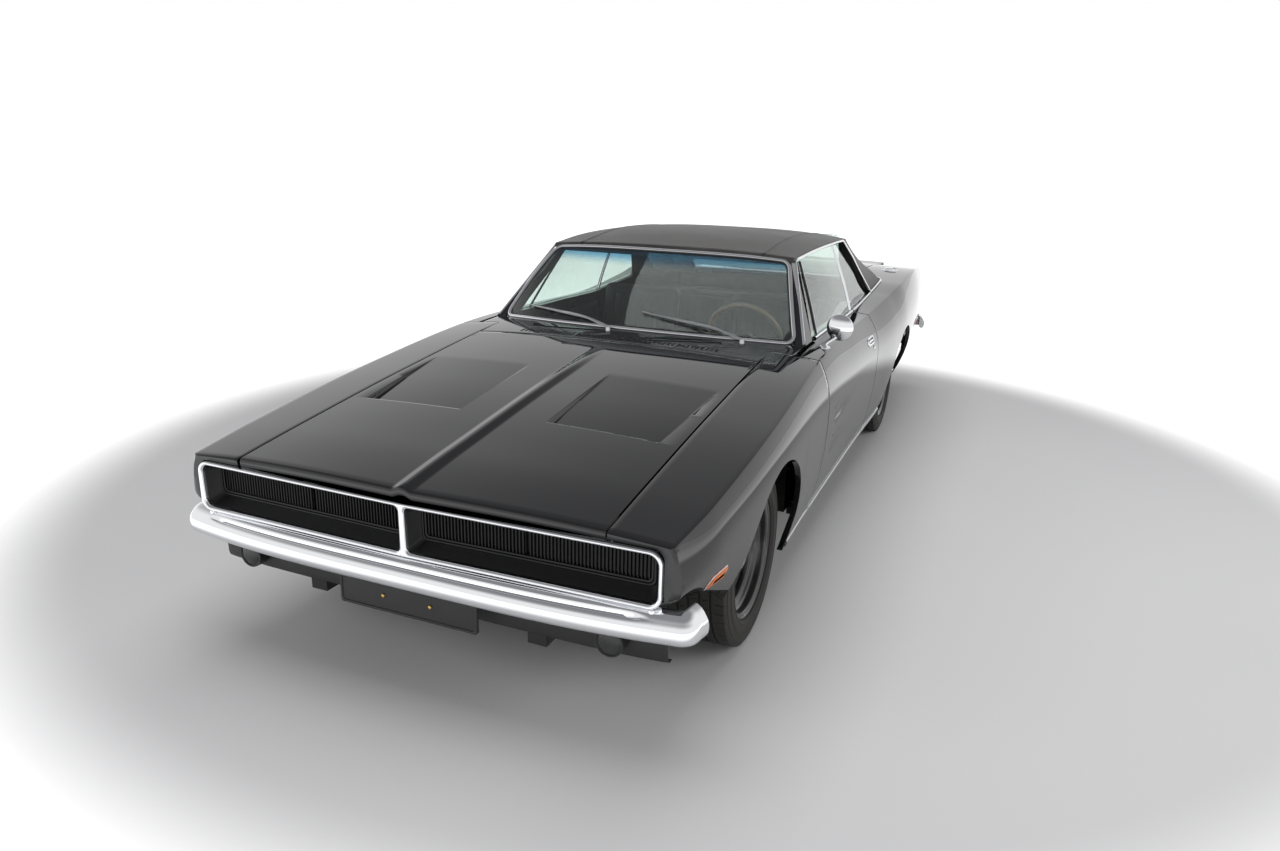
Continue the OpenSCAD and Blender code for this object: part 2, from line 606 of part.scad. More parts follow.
// Distance between the bolt holes of the license plate
plate_bolt_span = 178;
plate_bolt_d = 7;
plate_z = 388;
plate_front_y = nose_y - 34;
module license_plate()
    color("#141414") {
        translate([0, plate_front_y + 10, plate_z]) rotate([90, 0, 0]) difference() {
            linear_extrude(10) offset_box(plate_w, plate_h, 10);
            for (x = [-1, 1]) translate([x * plate_bolt_span / 2, 0, -1])
                cylinder(d = plate_bolt_d, h = 12);
        }
        for (x = [-200, 170]) box([x, plate_front_y + 10 + seat_gap, plate_z - 20],
                                  [x + 30, nose_y + 40 - seat_gap, plate_z + 10]);
    }
// A rectangle with round corners, from exact arcs
module offset_box(w, h, r) {
    square([w - 2 * r, h], center = true);
    square([w, h - 2 * r], center = true);
    for (x = [-1, 1], y = [-1, 1]) translate([x * (w / 2 - r), y * (h / 2 - r)]) circle(r);
}
module fuel_filler() {
    y = rear_axle_y + 500;
    x = half_w - 215;
    color("silver") translate([x, y, top_z(y, x - 50) + seat_gap]) cylinder(d = 108, h = 14);
}
module wipers()
    color("#b9bcc0")
        for (p = [[-0.12, 0.05, -0.72, 0.13], [0.72, 0.05, 0.14, 0.17]])
            let (pivot = shield_low(p[0]) + [0, -46, 0], pivot_z = top_z(pivot[1] + 11, pivot[0])
                + 0.7, tip = shield_point(p[2], p[3], 0), root = shield_point(p[0], p[1] + 0.05, 0)) {
                translate([pivot[0], pivot[1], pivot_z]) cylinder(d = 22, h = 16);
                hull() {
                    translate([pivot[0], pivot[1], pivot_z + 12]) cube([12, 6, 8], center = true);
                    translate(root + [0, -16, 16]) cube(7, center = true);
                }
                hull() {
                    translate(root + [0, -16, 16]) cube(7, center = true);
                    translate(tip + [0, -16, 16]) cube(7, center = true);
                }
            }

// Engine as one plain block, carried by the crossmember between the rails
cross_z = 300;
module engine_block() {
    color("#3a3c3f") {
        box([-255, front_axle_y - 130, cross_z + seat_gap], [255, front_axle_y + 560, 700]);
        translate([0, front_axle_y + 200, 700]) cylinder(d = 380, h = 75);
    }
}
kingpin_x = track / 2 - 85;
drum_x = track / 2 - 48;
ball_low_z = axle_z - 118;
ball_high_z = axle_z + 128;
ball_d = 34;
module front_suspension() {
    wall_x = rail_out_x + 6;
    color("#2a2b2d") {
        box([-rail_out_x + 65.3, front_axle_y - 60, 235],
            [rail_out_x - 65.3, front_axle_y + 60, cross_z]);
        both_sides() {
            control_arm([wall_x + 18, front_axle_y, ball_low_z + 35],
                [kingpin_x, front_axle_y, ball_low_z], 110, -1);
            control_arm([wall_x + 18, front_axle_y, ball_high_z + 20],
                [kingpin_x, front_axle_y, ball_high_z], 80, 1);
            box([rail_out_x - 70, front_axle_y - 60, 215], [wall_x, front_axle_y + 60, 299.7]);
        }
    }
}
// An A-shaped arm from a pivot on the rail to a ball joint outside the knuckle's yoke
module control_arm(pivot, ball, spread, side) {
    for (s = [-1, 1]) rod(pivot + [0, s * spread, 0], ball + [-26, s * 12, side * 14], 24);
    translate(ball + [0, 0, side * 14 - 9]) cylinder(d = ball_d + 24, h = 18);
    for (s = [-1, 1]) translate(pivot + [0, s * spread - 22, 0]) rotate([-90, 0, 0])
        cylinder(d = 36, h = 44);
}
module rod(a, b, d) {
    v = b - a;
    translate(a) rotate([0, acos(v[2] / norm(v)), atan2(v[1], v[0])]) cylinder(d = d, h = norm(v));
}
// Steering knuckle with its brake drum and the wheel spindle
drum_d = 270;
hub_x = track / 2 + 14;
module knuckle() {
    color("#2a2b2d") {
        translate([kingpin_x, front_axle_y, ball_low_z - 5 + seat_gap])
            cylinder(d = ball_d + 6, h = ball_high_z - ball_low_z + 10 - 2 * seat_gap);
        translate([kingpin_x, front_axle_y, axle_z]) rotate([0, 90, 0]) {
            cylinder(d = 90, h = drum_x - kingpin_x + 1);
            translate([0, 0, drum_x - kingpin_x]) cylinder(d = drum_d, h = hub_x - drum_x - 4);
            cylinder(d = spindle_d, h = hub_x - kingpin_x + 40);
        }
    }
}
// Steel wheel: rim with a drop centre, disc with a bolt circle
module wheel() {
    seat_r = rim_d / 2;
    half = tyre_w / 2 - 16;
    profile = [[seat_r + 14, half], [seat_r, half - 6], [seat_r - 2, half - 34], [seat_r - 26, half - 50],
               [seat_r - 26, -half + 80], [seat_r - 2, -half + 40], [seat_r, -half + 6],
                   [seat_r + 14, -half],
               [seat_r + 8, -half], [seat_r - 6, -half + 8], [seat_r - 8, -half + 38],
                   [seat_r - 32, -half + 76],
               [seat_r - 32, half - 54], [seat_r - 8, half - 36], [seat_r - 6, half - 8],
                   [seat_r + 8, half]];
    disc_x = hub_x - track / 2;
    color("#17181a") rotate([0, 90, 0]) {
        rotate_extrude($fn = 96) polygon(profile);
        difference() {
            union() {
                translate([0, 0, disc_x]) cylinder(r = 92, h = 8);
                rotate_extrude($fn = 96) polygon([
                    [80, disc_x], [80, disc_x + 8], [94, disc_x + 8], [120, disc_x + 24],
                        [150, disc_x + 26],
                    [seat_r - 29, disc_x - 6], [seat_r - 29, disc_x - 14], [148, disc_x + 17],
                        [122, disc_x + 15],
                    [96, disc_x]]);
            }
            translate([0, 0, disc_x - 1]) cylinder(d = spindle_d + 2 * seat_gap, h = 10);
            for (a = [0 : 72 : 288]) rotate(a) translate([bolt_circle / 2, 0, disc_x - 1])
                cylinder(d = bolt_d, h = 10);
        }
    }
}
module tyre() {
    r = tyre_d / 2;
    seat_r = rim_d / 2 + seat_gap;
    half = tyre_w / 2;
    color("#161616") rotate([0, 90, 0]) rotate_extrude($fn = 96) difference() {
        polygon(concat([[seat_r, -half + 24], [seat_r + 15, -half + 18], [seat_r + 18, -half + 8]],
            [for (a = [-60 : 20 : 60]) [mix(seat_r + 40, r - 30, (a + 60) / 120), -half
                + 8 - 8 * cos(a)]],
            [for (a = [0 : 30 : 90]) [r - 22 + 19 * sin(a), -half + 22 - 22 * cos(a)]],
            [[r, -20], [r, 20]],
            [for (a = [90 : -30 : 0]) [r - 22 + 19 * sin(a), half - 22 + 22 * cos(a)]],
            [for (a = [60 : -20 : -60]) [mix(seat_r + 40, r - 30, (a + 60) / 120), half - 8
                + 8 * cos(a)]],
            [[seat_r + 18, half - 8], [seat_r + 15, half - 18], [seat_r, half - 24]]));
        for (x = [-60, -20, 20, 60]) translate([r - 8, x - 4]) square([20, 8]);
    }
}
module on_axle(side, y) translate([side * track / 2, y, axle_z]) mirror([side < 0 ? 1 : 0, 0, 0])
    children();

module rear_axle() {
    color("#2a2b2d") {
        translate([0, rear_axle_y, axle_z]) rotate([0, 90, 0]) rotate_extrude() polygon(concat(
            [[0, -drum_x - 1], [37, -drum_x - 1], [37, -150]],
                [for (a = [-60 : 20 : 60]) [60 + 60 * cos(a), 110 * sin(a)]],
            [[37, 150], [37, drum_x + 1], [0, drum_x + 1]]));
        translate([0, rear_axle_y - 200, axle_z]) rotate([-90, 0, 0]) cylinder(d = 90, h = 200);
        both_sides() {
            translate([drum_x, rear_axle_y, axle_z]) rotate([0, 90, 0]) {
                cylinder(d = drum_d, h = hub_x - drum_x - 4);
                cylinder(d = spindle_d, h = hub_x - drum_x + 40);
            }
            for (s = [-1, 1]) leaf_spring(s);
        }
    }
}
spring_x = track / 2 - tyre_w / 2 - 100;
module leaf_spring(side) {
    reach = side < 0 ? 360 : 690;
    loft([for (t = steps(0, 1, 8))
        let (y = rear_axle_y + side * reach * t, z = axle_z - 52 + 70 * t ^ 2)
        [[spring_x - 30, y, z - 13], [spring_x + 30, y, z - 13], [spring_x + 30, y, z + 14],
            [spring_x - 30, y, z + 14]]]);
    translate([spring_x - 30, rear_axle_y + side * reach, axle_z + 18]) rotate([0, 90, 0])
        cylinder(d = 44, h = 60);
    box([spring_x - 36, rear_axle_y + side * reach - 20, axle_z + 18],
        [spring_x - 30, rear_axle_y + side * reach + 20, rear_floor_z - 80 - seat_gap]);
}
module driveshaft() {
    engine_y = front_axle_y + 560;
    shaft_z = 335;
    shaft_r = 38;
    // The rear end stays clear of the axle when the shaft slopes
    slope = abs(axle_z - shaft_z) / (rear_axle_y - engine_y - 600);
    rear_end = rear_axle_y - 200 - seat_gap - 1.05 * shaft_r * slope;
    color("#3a3c3f") {
        box([-115, engine_y + seat_gap, 270], [115, engine_y + 420, 398]);
        rod([0, engine_y + 400, shaft_z], [0, rear_end, axle_z], 2 * shaft_r);
    }
}
module exhaust()
    color("#6c6e70") both_sides() {
        x = 300;
        z = 178;
        rear = [x + 20, rear_axle_y + 240, 300];
        pipe([[x, front_axle_y + 700, z], [x, rear_axle_y - 800, z]], 56);
        translate([x, rear_axle_y - 800, z]) rotate([-90, 0, 0]) cylinder(d = 98, h = 380);
        pipe([[x, rear_axle_y - 420, z], [x, rear_axle_y - 330, z], [x, rear_axle_y - 140, 425],
              [x, rear_axle_y + 110, 425], rear, [x + 20, rear_y - 60, 300]], 50);
        box([x - 4, rear_axle_y - 850, z + 20], [x + 4, rear_axle_y - 830, floor_z - floor_t - seat_gap]);
        box([x + 16, rear_axle_y + 900, 320],
            [x + 24, rear_axle_y + 920, rear_floor_z - floor_t - seat_gap]);
    }
// A bent pipe through points, each ring square to the way the pipe runs there
module pipe(points, d) {
    sides = 12;
    last = len(points) - 1;
    loft([for (i = [0 : last])
        let (v = points[min(i + 1, last)] - points[max(i - 1, 0)], u = v / norm(v),
            w = cross([1, 0, 0], u) / norm(cross([1, 0, 0], u)),
             r = cross(u, w))
        [for (j = [0 : sides - 1]) let (a = 360 * j / sides) points[i]
            + d / 2 * (cos(a) * w + sin(a) * r)]]);
}
module fuel_tank()
    color("#4a4c4e") translate([0, rear_axle_y + 640, 260])
        linear_extrude(rear_floor_z - floor_t - 260 - seat_gap) offset_box(520, 620, 60);

// Seats: cushions and backs
seat_x = seat_w / 2 + tunnel_w / 2 + 2;
seat_y = door_rear_y - 500;
module cushion(size, r) hull() for (x = [-1, 1], y = [-1, 1], z = [-1, 1])
    translate([x * (size[0] / 2 - r), y * (size[1] / 2 - r), z * (size[2] / 2 - r)]) sphere(r, $fn = 16);
module front_seats()
    color("#15161a") both_sides() {
        box([seat_x - 180, seat_y - 180, floor_z + seat_gap], [seat_x + 180, seat_y + 180, 330.5]);
        translate([seat_x, seat_y, 405]) cushion([seat_w, 520, 150], 40);
        translate([seat_x, seat_y + 290, 710]) rotate([-14, 0, 0]) cushion([seat_w - 20, 120, 620], 40);
    }
module rear_seat()
    color("#15161a") {
        for (x = [-540, tunnel_w / 2 + seat_gap])
            box([x, kick_y - 400, floor_z + seat_gap],
                [x + 540 - tunnel_w / 2 - seat_gap, kick_y - 60, tunnel_z]);
        translate([0, kick_y - 228, tunnel_z - 0.4 + 70]) cushion([1120, 430, 140], 40);
        translate([0, kick_y + 20, 700]) rotate([-14, 0, 0]) cushion([1120, 110, 420], 40);
    }
dash_y = firewall_y + 6;
steering_centre = [390, door_front_y + 560, 870];
steering_tilt = 22;
module dashboard() {
    far = floor_half_w - 40;
    color("#17181b") difference() {
        translate([-far, 0, 0]) rotate([90, 0, 90]) linear_extrude(2 * far)
            polygon([[dash_y, 560], [dash_y + 170, 640], [dash_y + 290, 700], [dash_y + 310, 790],
                [dash_y + 240, 890],
                     [dash_y + 100, 900], [dash_y, 895]]);
        translate(steering_centre) rotate([90 + steering_tilt, 0, 0])
            cylinder(d = 64 + 2 * seat_gap, h = 900);
    }
}
module steering_column()
    color("#17181b") translate(steering_centre) rotate([90 + steering_tilt, 0, 0])
        translate([0, 0, 38 + seat_gap]) cylinder(d = 64, h = 420);
module steering_wheel()
    color("#6b3f22") translate(steering_centre) rotate([90 + steering_tilt, 0, 0]) {
        rotate_extrude($fn = 96) translate([steering_d / 2 - 14, 0]) circle(13, $fn = 32);
        translate([0, 0, 8]) cylinder(d = 92, h = 30);
        for (a = [0, 180, 270]) rotate(a) translate([30, -14, 8]) cube([steering_d / 2 - 44, 28, 5]);
        for (a = [0, 180, 270]) rotate(a) translate([steering_d / 2 - 22, -14, 3]) cube([8, 28, 10]);
    }
module door_mirror() {
    y = door_front_y + 235;
    x = shoulder_x(y) - 25;
    head = [x + 54, y + 12, 1015];
    color("silver") {
        translate([x, y, top_z(y, x - 20) + 0.7]) cylinder(d = 40, h = 16);
        rod([x, y + 3, top_z(y, x - 20) + 9], head + [0, 13, -20], 16);
        translate(head) rotate([-90, 0, 0]) cylinder(d = 118, h = 26);
    }
}

floor_pan();
cowl_panel();
front_fender();  // front_fender_left
mirror([1, 0, 0]) front_fender();  // front_fender_right
quarter_panel();  // quarter_panel_left
mirror([1, 0, 0]) quarter_panel();  // quarter_panel_right
roof_panel();
windshield_frame();
rocker_panels();
front_valance();
inner_fenders();
rear_deck_panel();
tail_panel();
front_bumper();
rear_bumper();
grille_surround();
grille();
tail_lamps();
marker_lamps();
windshield();
rear_window();
quarter_windows();
engine_block();
front_seats();
rear_seat();
dashboard();
steering_column();
front_suspension();
rear_axle();
driveshaft();
exhaust();
fuel_tank();
wipers();
license_plate();
fuel_filler();
door();  // door_left
mirror([1, 0, 0]) door();  // door_right
door_glass();  // door_glass_left
mirror([1, 0, 0]) door_glass();  // door_glass_right
door_mirror();
hood();
deck_lid();
steering_wheel();
knuckle();  // knuckle_left
mirror([1, 0, 0]) knuckle();  // knuckle_right
on_axle(1, front_axle_y) wheel();  // front_wheel_left
on_axle(-1, front_axle_y) wheel();  // front_wheel_right
on_axle(1, rear_axle_y) wheel();  // rear_wheel_left
on_axle(-1, rear_axle_y) wheel();  // rear_wheel_right
on_axle(1, front_axle_y) tyre();  // front_tyre_left
on_axle(-1, front_axle_y) tyre();  // front_tyre_right
on_axle(1, rear_axle_y) tyre();  // rear_tyre_left
on_axle(-1, rear_axle_y) tyre();  // rear_tyre_right
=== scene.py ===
import math
import bmesh
import bpy
from mathutils import Matrix, Vector


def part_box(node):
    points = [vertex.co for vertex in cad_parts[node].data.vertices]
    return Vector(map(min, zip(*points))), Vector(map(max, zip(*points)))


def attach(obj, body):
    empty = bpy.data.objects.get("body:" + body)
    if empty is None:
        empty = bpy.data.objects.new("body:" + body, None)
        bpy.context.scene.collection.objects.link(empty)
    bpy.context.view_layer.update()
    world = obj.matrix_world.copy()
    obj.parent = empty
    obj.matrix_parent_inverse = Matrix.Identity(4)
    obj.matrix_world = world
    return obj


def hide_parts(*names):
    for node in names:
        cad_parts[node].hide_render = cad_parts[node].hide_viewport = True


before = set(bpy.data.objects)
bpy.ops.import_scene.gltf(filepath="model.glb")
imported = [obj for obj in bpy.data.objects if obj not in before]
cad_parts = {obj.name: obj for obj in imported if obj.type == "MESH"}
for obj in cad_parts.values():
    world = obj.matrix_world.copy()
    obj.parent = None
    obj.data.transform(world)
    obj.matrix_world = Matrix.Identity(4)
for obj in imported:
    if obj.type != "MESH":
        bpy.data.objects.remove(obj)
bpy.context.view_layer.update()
scene = bpy.context.scene


# The studio. A pale floor under broad, soft lamps, with a white surround that shows
# in the paint, the chrome and the glass. Every finish in this file is a node tree,
# written as sums of sockets.
class Value:
    """A shader socket that takes part in sums: each operator adds its node."""

    def __init__(self, tree, socket):
        self.tree = tree
        self.socket = socket

    def math(self, operation, *operands):
        inputs = dict(enumerate(operands))
        return self.tree.node("ShaderNodeMath", inputs, operation=operation)

    def __add__(self, other):
        return self.math("ADD", self, other)

    def __sub__(self, other):
        return self.math("SUBTRACT", self, other)

    def __mul__(self, other):
        return self.math("MULTIPLY", self, other)

    def __truediv__(self, other):
        return self.math("DIVIDE", self, other)

    def size(self):
        return self.math("ABSOLUTE", self)

    def cycle(self, length):
        """Where the value stands in a run of lengths, from 0 to 1."""
        return self.math("FRACT", self / length)

    def ramp(self, low, high):
        """0 below low, 1 above high, and smooth between them."""
        inputs = {"Value": self, "From Min": low, "From Max": high}
        return self.tree.node("ShaderNodeMapRange", inputs, interpolation_type="SMOOTHSTEP")


class Tree:
    """A node tree, with one method that adds any node."""

    def __init__(self, node_tree):
        self.nodes = node_tree.nodes
        self.links = node_tree.links

    def feed(self, node, inputs):
        for key, value in inputs.items():
            socket = node.inputs[key]
            if isinstance(value, Value):
                self.links.new(value.socket, socket)
            elif hasattr(socket.default_value, "__len__") and len(socket.default_value) == 4:
                socket.default_value = (*value, 1.0)[:4]
            else:
                socket.default_value = value

    def node(self, kind, inputs={}, out=0, **settings):
        node = self.nodes.new(kind)
        for key, value in settings.items():
            setattr(node, key, value)
        self.feed(node, inputs)
        return Value(self, node.outputs[out])

    def place(self):
        """The point being shaded, in the car's own metres."""
        return self.node("ShaderNodeTexCoord", out="Object")

    def along(self, axis):
        return self.node("ShaderNodeSeparateXYZ", {0: self.place()}, out="XYZ".index(axis))

    def noise(self, scale, detail=2.0, roughness=0.5, stretch=(1.0, 1.0, 1.0)):
        """Cloudy values about 0.5, with features 1 / scale metres long."""
        vector = self.node("ShaderNodeVectorMath", {0: self.place(), 1: stretch}, operation="MULTIPLY")
        inputs = {"Vector": vector, "Scale": scale, "Detail": detail, "Roughness": roughness}
        return self.node("ShaderNodeTexNoise", inputs)

    def cells(self, scale, feature="F1"):
        """Distance to the nearest of many scattered points, 1 / scale metres apart."""
        inputs = {"Vector": self.place(), "Scale": scale}
        return self.node("ShaderNodeTexVoronoi", inputs, feature=feature)

    def mirrored(self):
        """1 for the rays of the camera, of reflections and of clear glass, and 0 for light."""
        kinds = ("Is Camera Ray", "Is Glossy Ray", "Is Transmission Ray")
        camera_ray, glossy_ray, glass_ray = [self.node("ShaderNodeLightPath", out=kind) for kind in kinds]
        return camera_ray + glossy_ray + glass_ray

    def blend(self, share, first, second):
        """The first colour where share is 0 and the second where it is 1."""
        return self.node("ShaderNodeMix", {0: share, 6: first, 7: second}, out=2, data_type="RGBA")


class Finish(Tree):
    """A material with one Principled shader, whose sockets take numbers or values.

    uneven is the scale of a cloudy gloss, its least roughness and how much is added.
    """

    def __init__(self, name, uneven=None, **constants):
        self.material = bpy.data.materials.new(name)
        self.material.use_nodes = True
        super().__init__(self.material.node_tree)
        self.shader = self.nodes["Principled BSDF"]
        self.wear({key.replace("_", " ").title().replace("Ior", "IOR"): value
                   for key, value in constants.items()})
        if uneven:
            scale, least, spread = uneven
            self.wear({"Roughness": self.noise(scale) * spread + least})

    def wear(self, inputs):
        self.feed(self.shader, inputs)

    def bump(self, height, distance, strength=1.0):
        inputs = {"Height": height, "Distance": distance, "Strength": strength}
        self.wear({"Normal": self.node("ShaderNodeBump", inputs)})


def stand(name, vertices, faces, finish):
    """A new object from plain mesh data."""
    mesh = bpy.data.meshes.new(name)
    mesh.from_pydata([tuple(v) for v in vertices], [], faces)
    mesh.materials.append(finish.material)
    obj = bpy.data.objects.new(name, mesh)
    scene.collection.objects.link(obj)
    return obj


studio_white = 1.0
studio_ambient = 0.62
world = bpy.data.worlds.new("surround")
world.use_nodes = True
scene.world = world
surround = Tree(world.node_tree)
sky = surround.node("ShaderNodeSeparateXYZ", {0: surround.node("ShaderNodeTexCoord", out="Generated")}, out=2)
surround.feed(surround.nodes["Background"], {
    "Color": surround.blend(sky.ramp(0.32, 0.75), (1.0, 1.0, 1.0), (0.28, 0.28, 0.29)),
    "Strength": surround.mirrored().ramp(0.0, 1.0) * (studio_white - studio_ambient) + studio_ambient,
})

floor_finish = Finish("studio_floor", roughness=0.75, specular_ior_level=0.2)
floor_mottle = floor_finish.noise(0.6)
floor_finish.wear({"Base Color": floor_finish.blend(floor_mottle, (0.56, 0.56, 0.57), (0.6, 0.6, 0.6))})
from_middle = floor_finish.node("ShaderNodeVectorMath", {0: floor_finish.place()}, out=1, operation="LENGTH")
fade = from_middle.ramp(3.0, 3.9) * floor_finish.mirrored()
floor_finish.wear({
    "Emission Color": floor_finish.blend(fade, (0.0, 0.0, 0.0), (1.0, 1.0, 1.0)),
    "Emission Strength": 1.0,
})
floor_reach = 40.0
floor_corners = [(x * floor_reach, y * floor_reach, 0.0) for x, y in ((-1, -1), (1, -1), (1, 1), (-1, 1))]
floor = stand("studio_floor", floor_corners, [(0, 1, 2, 3)], floor_finish)


def lamp(name, place, target, size, power):
    """A broad lamp aimed at a target, which reflections don't show."""
    light = bpy.data.lights.new(name, "AREA")
    light.shape = "RECTANGLE"
    light.size, light.size_y = size
    light.energy = power
    obj = bpy.data.objects.new(name, light)
    obj.location = place
    obj.rotation_euler = (Vector(target) - Vector(place)).to_track_quat("-Z", "Y").to_euler()
    obj.visible_glossy = False
    scene.collection.objects.link(obj)


lamp("ceiling_lamp", (0.0, -0.5, 6.5), (0.0, 0.0, 0.0), (5.0, 8.0), 300)
lamp("left_lamp", (6.5, -1.0, 3.6), (0.0, 0.0, 0.6), (6.0, 3.0), 170)
lamp("front_lamp", (-2.5, -7.5, 3.8), (0.0, -1.0, 0.4), (5.0, 3.0), 130)

# The camera, ahead of the left front corner and a little above the roof, is levelled
# but for a slight roll.
camera_place = Vector((1.6596, -4.664, 1.7592))
camera_azimuth = math.radians(23.008)
camera_elevation = math.radians(16.991)
camera_roll = math.radians(1.226)
ahead = Vector((
    -math.sin(camera_azimuth) * math.cos(camera_elevation),
    math.cos(camera_azimuth) * math.cos(camera_elevation),
    -math.sin(camera_elevation),
))
level = ahead.cross(Vector((0, 0, 1))).normalized()
upright = level.cross(ahead)
right = math.cos(camera_roll) * level + math.sin(camera_roll) * upright
up = math.cos(camera_roll) * upright - math.sin(camera_roll) * level
camera_data = bpy.data.cameras.new("camera")
camera_data.sensor_width = 36.0
camera_data.lens = 25.55
camera_data.clip_end = 200.0
camera = bpy.data.objects.new("camera", camera_data)
camera.matrix_world = Matrix.Translation(camera_place) @ Matrix((right, up, -ahead)).transposed().to_4x4()
scene.collection.objects.link(camera)
scene.camera = camera
scene.view_settings.view_transform = "Standard"


# Front fenders. Each is one stamping of 1 mm sheet steel, folded to 5 mm at its rims
# and bolted along the hood gutter. Its crest runs from the nose to the windshield,
# and its arch has a flange turned in over the tyre.
def middle(node):
    low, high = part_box(node)
    return (low + high) / 2


half_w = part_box("quarter_panel_left")[1][0]
nose_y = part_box("front_fender_left")[0][1]
tail_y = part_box("quarter_panel_left")[1][1]
front_axle_y = middle("front_tyre_left")[1]
rear_axle_y = middle("rear_tyre_left")[1]
axle_z = middle("front_tyre_left")[2]
roof_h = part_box("roof_panel")[1][2]
gap = 0.007
door_front_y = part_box("door_left")[0][1] - gap / 2
door_rear_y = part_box("door_left")[1][1] + gap / 2
panel_t = 0.005
arch_r = axle_z + 0.038
hood_w = 1.344
deck_w = 1.196

# The body's lines, each a smooth curve through its values at these stations
line_y = (
    nose_y, front_axle_y - 0.61, front_axle_y, door_front_y,
    (door_front_y + door_rear_y) / 2, door_rear_y, rear_axle_y - 0.38, rear_axle_y,
    rear_axle_y + 0.62, tail_y,
)
shoulder_in = (0.095, 0.072, 0.060, 0.084, 0.104, 0.104, 0.080, 0.058, 0.072, 0.112)
shoulder_h = (0.733, 0.765, 0.840, 0.916, 0.925, 0.915, 0.945, 0.975, 0.985, 0.932)
widest_in = (0.072, 0.038, 0.018, 0.028, 0.035, 0.031, 0.008, 0.000, 0.018, 0.066)
widest_h = (0.600, 0.650, 0.700, 0.705, 0.700, 0.700, 0.715, 0.725, 0.720, 0.690)
lower_in = (0.120, 0.093, 0.090, 0.103, 0.105, 0.105, 0.093, 0.093, 0.120, 0.150)
lower_h = (0.556, 0.480, 0.240, 0.205, 0.205, 0.205, 0.215, 0.250, 0.350, 0.430)
centre_h = (0.758, 0.800, 0.880, 0.958, 0.966, 0.960, 0.978, 0.992, 0.998, 0.950)


def mix(a, b, t):
    return a + (b - a) * t


def sind(degrees):
    return math.sin(math.radians(degrees))


def cosd(degrees):
    return math.cos(math.radians(degrees))


def ease(a, b, t):
    u = max(0.0, min(1.0, (t - a) / (b - a)))
    return u * u * (3 - 2 * u)


def steps(a, b, n):
    return [mix(a, b, i / n) for i in range(n + 1)]


def curve(k, v, t):
    """A smooth curve through the values v at the positions k."""
    last = len(k) - 1
    i = max([0] + [j for j in range(last) if t >= k[j]])
    d = k[i + 1] - k[i]
    u = (t - k[i]) / d

    def slope(j):
        a, b = max(j - 1, 0), min(j + 1, last)
        return (v[b] - v[a]) / (k[b] - k[a]) * d

    return ((2 * u ** 3 - 3 * u ** 2 + 1) * v[i] + (u ** 3 - 2 * u ** 2 + u) * slope(i)
            + (3 * u ** 2 - 2 * u ** 3) * v[i + 1] + (u ** 3 - u ** 2) * slope(i + 1))


def shoulder_x(y):
    return half_w - curve(line_y, shoulder_in, y)


def shoulder_z(y):
    return curve(line_y, shoulder_h, y)


def lower_z(y):
    return curve(line_y, lower_h, y)


def top_z(y, x):
    """Height of the top surface between the two crests."""
    crown = curve(line_y, centre_h, y)
    return crown - (crown - shoulder_z(y)) * (abs(x) / shoulder_x(y)) ** 2.6


def side_x(y, z):
    """Half-width of the side at a height."""
    wide_x = half_w - curve(line_y, widest_in, y)
    wide_z = curve(line_y, widest_h, y)
    crest_x, crest_z = shoulder_x(y), shoulder_z(y)
    if z > wide_z:
        t = max(0.0, (crest_z - z) / (crest_z - wide_z))
        return crest_x + (wide_x - crest_x) * (1 - (1 - t) ** 2.2)
    low_x = half_w - curve(line_y, lower_in, y)
    return wide_x - (wide_x - low_x) * ((wide_z - z) / (wide_z - lower_z(y))) ** 2.2


def freeze(obj, crease=32):
    """Applies the piece's modifiers, and smooths it but for edges over crease degrees."""
    bpy.context.view_layer.update()
    shape = bpy.data.meshes.new_from_object(obj.evaluated_get(bpy.context.evaluated_depsgraph_get()))
    obj.modifiers.clear()
    obj.data = shape
    shape.shade_smooth()
    shape.set_sharp_from_angle(angle=math.radians(crease))


def fit(obj, slot, *nodes, body="body", bevel=0.0, thickness=0.0, crease=32):
    """Gives a piece its sheet thickness, its rounded edges and its body; slot is not used."""
    if thickness:
        wall = obj.modifiers.new("wall", "SOLIDIFY")
        wall.thickness = thickness
        wall.offset = -1.0
    if bevel:
        edge = obj.modifiers.new("edge", "BEVEL")
        edge.width = bevel
        edge.segments = 2
        edge.limit_method = "ANGLE"
        edge.angle_limit = math.radians(40)
    freeze(obj, crease)
    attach(obj, body)
    if nodes:
        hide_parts(*nodes)


def panel(name, rows, finish, side=1, wrap=False, ends="open"):
    """A sheet through rows of points, seen from outside; side -1 mirrors it to the right.

    wrap closes each row on itself. The first and last rows are then left open, joined to
    each other, capped, or sewn shut across when they are long and thin.
    """
    cols = len(rows[0])
    last = (len(rows) - 1) * cols
    faces = [(r * cols + c, r * cols + (c + 1) % cols, (r + 1) * cols + (c + 1) % cols, (r + 1) * cols + c)
             for r in range(len(rows) - 1) for c in range(cols if wrap else cols - 1)]
    if ends == "joined":
        faces += [(last + c, last + (c + 1) % cols, (c + 1) % cols, c) for c in range(cols)]
    elif ends == "capped":
        faces += [tuple(range(cols))[::-1], tuple(range(last, last + cols))]
    elif ends == "sewn":
        for c in range(cols // 2 - 1):
            across = cols - 1 - c
            faces += [
                (c + 1, c, across, across - 1), (last + c, last + c + 1, last + across - 1, last + across)]
    vertices = [(side * p[0], p[1], p[2]) for row in rows for p in row]
    return stand(name, vertices, faces if side > 0 else [f[::-1] for f in faces], finish)


sides = ((1, "left"), (-1, "right"))


paint = Finish("black_paint", base_color=(0.0065, 0.0068, 0.0075), roughness=0.4, specular_ior_level=0.0,
               coat_weight=1.0, coat_roughness=0.012, coat_ior=1.55)
flow = paint.noise(260.0, detail=1.0)
haze = paint.noise(3.0, detail=4.0)
paint.wear({"Roughness": haze * 0.08 + 0.26})
paint.bump(flow, distance=0.00002, strength=0.25)


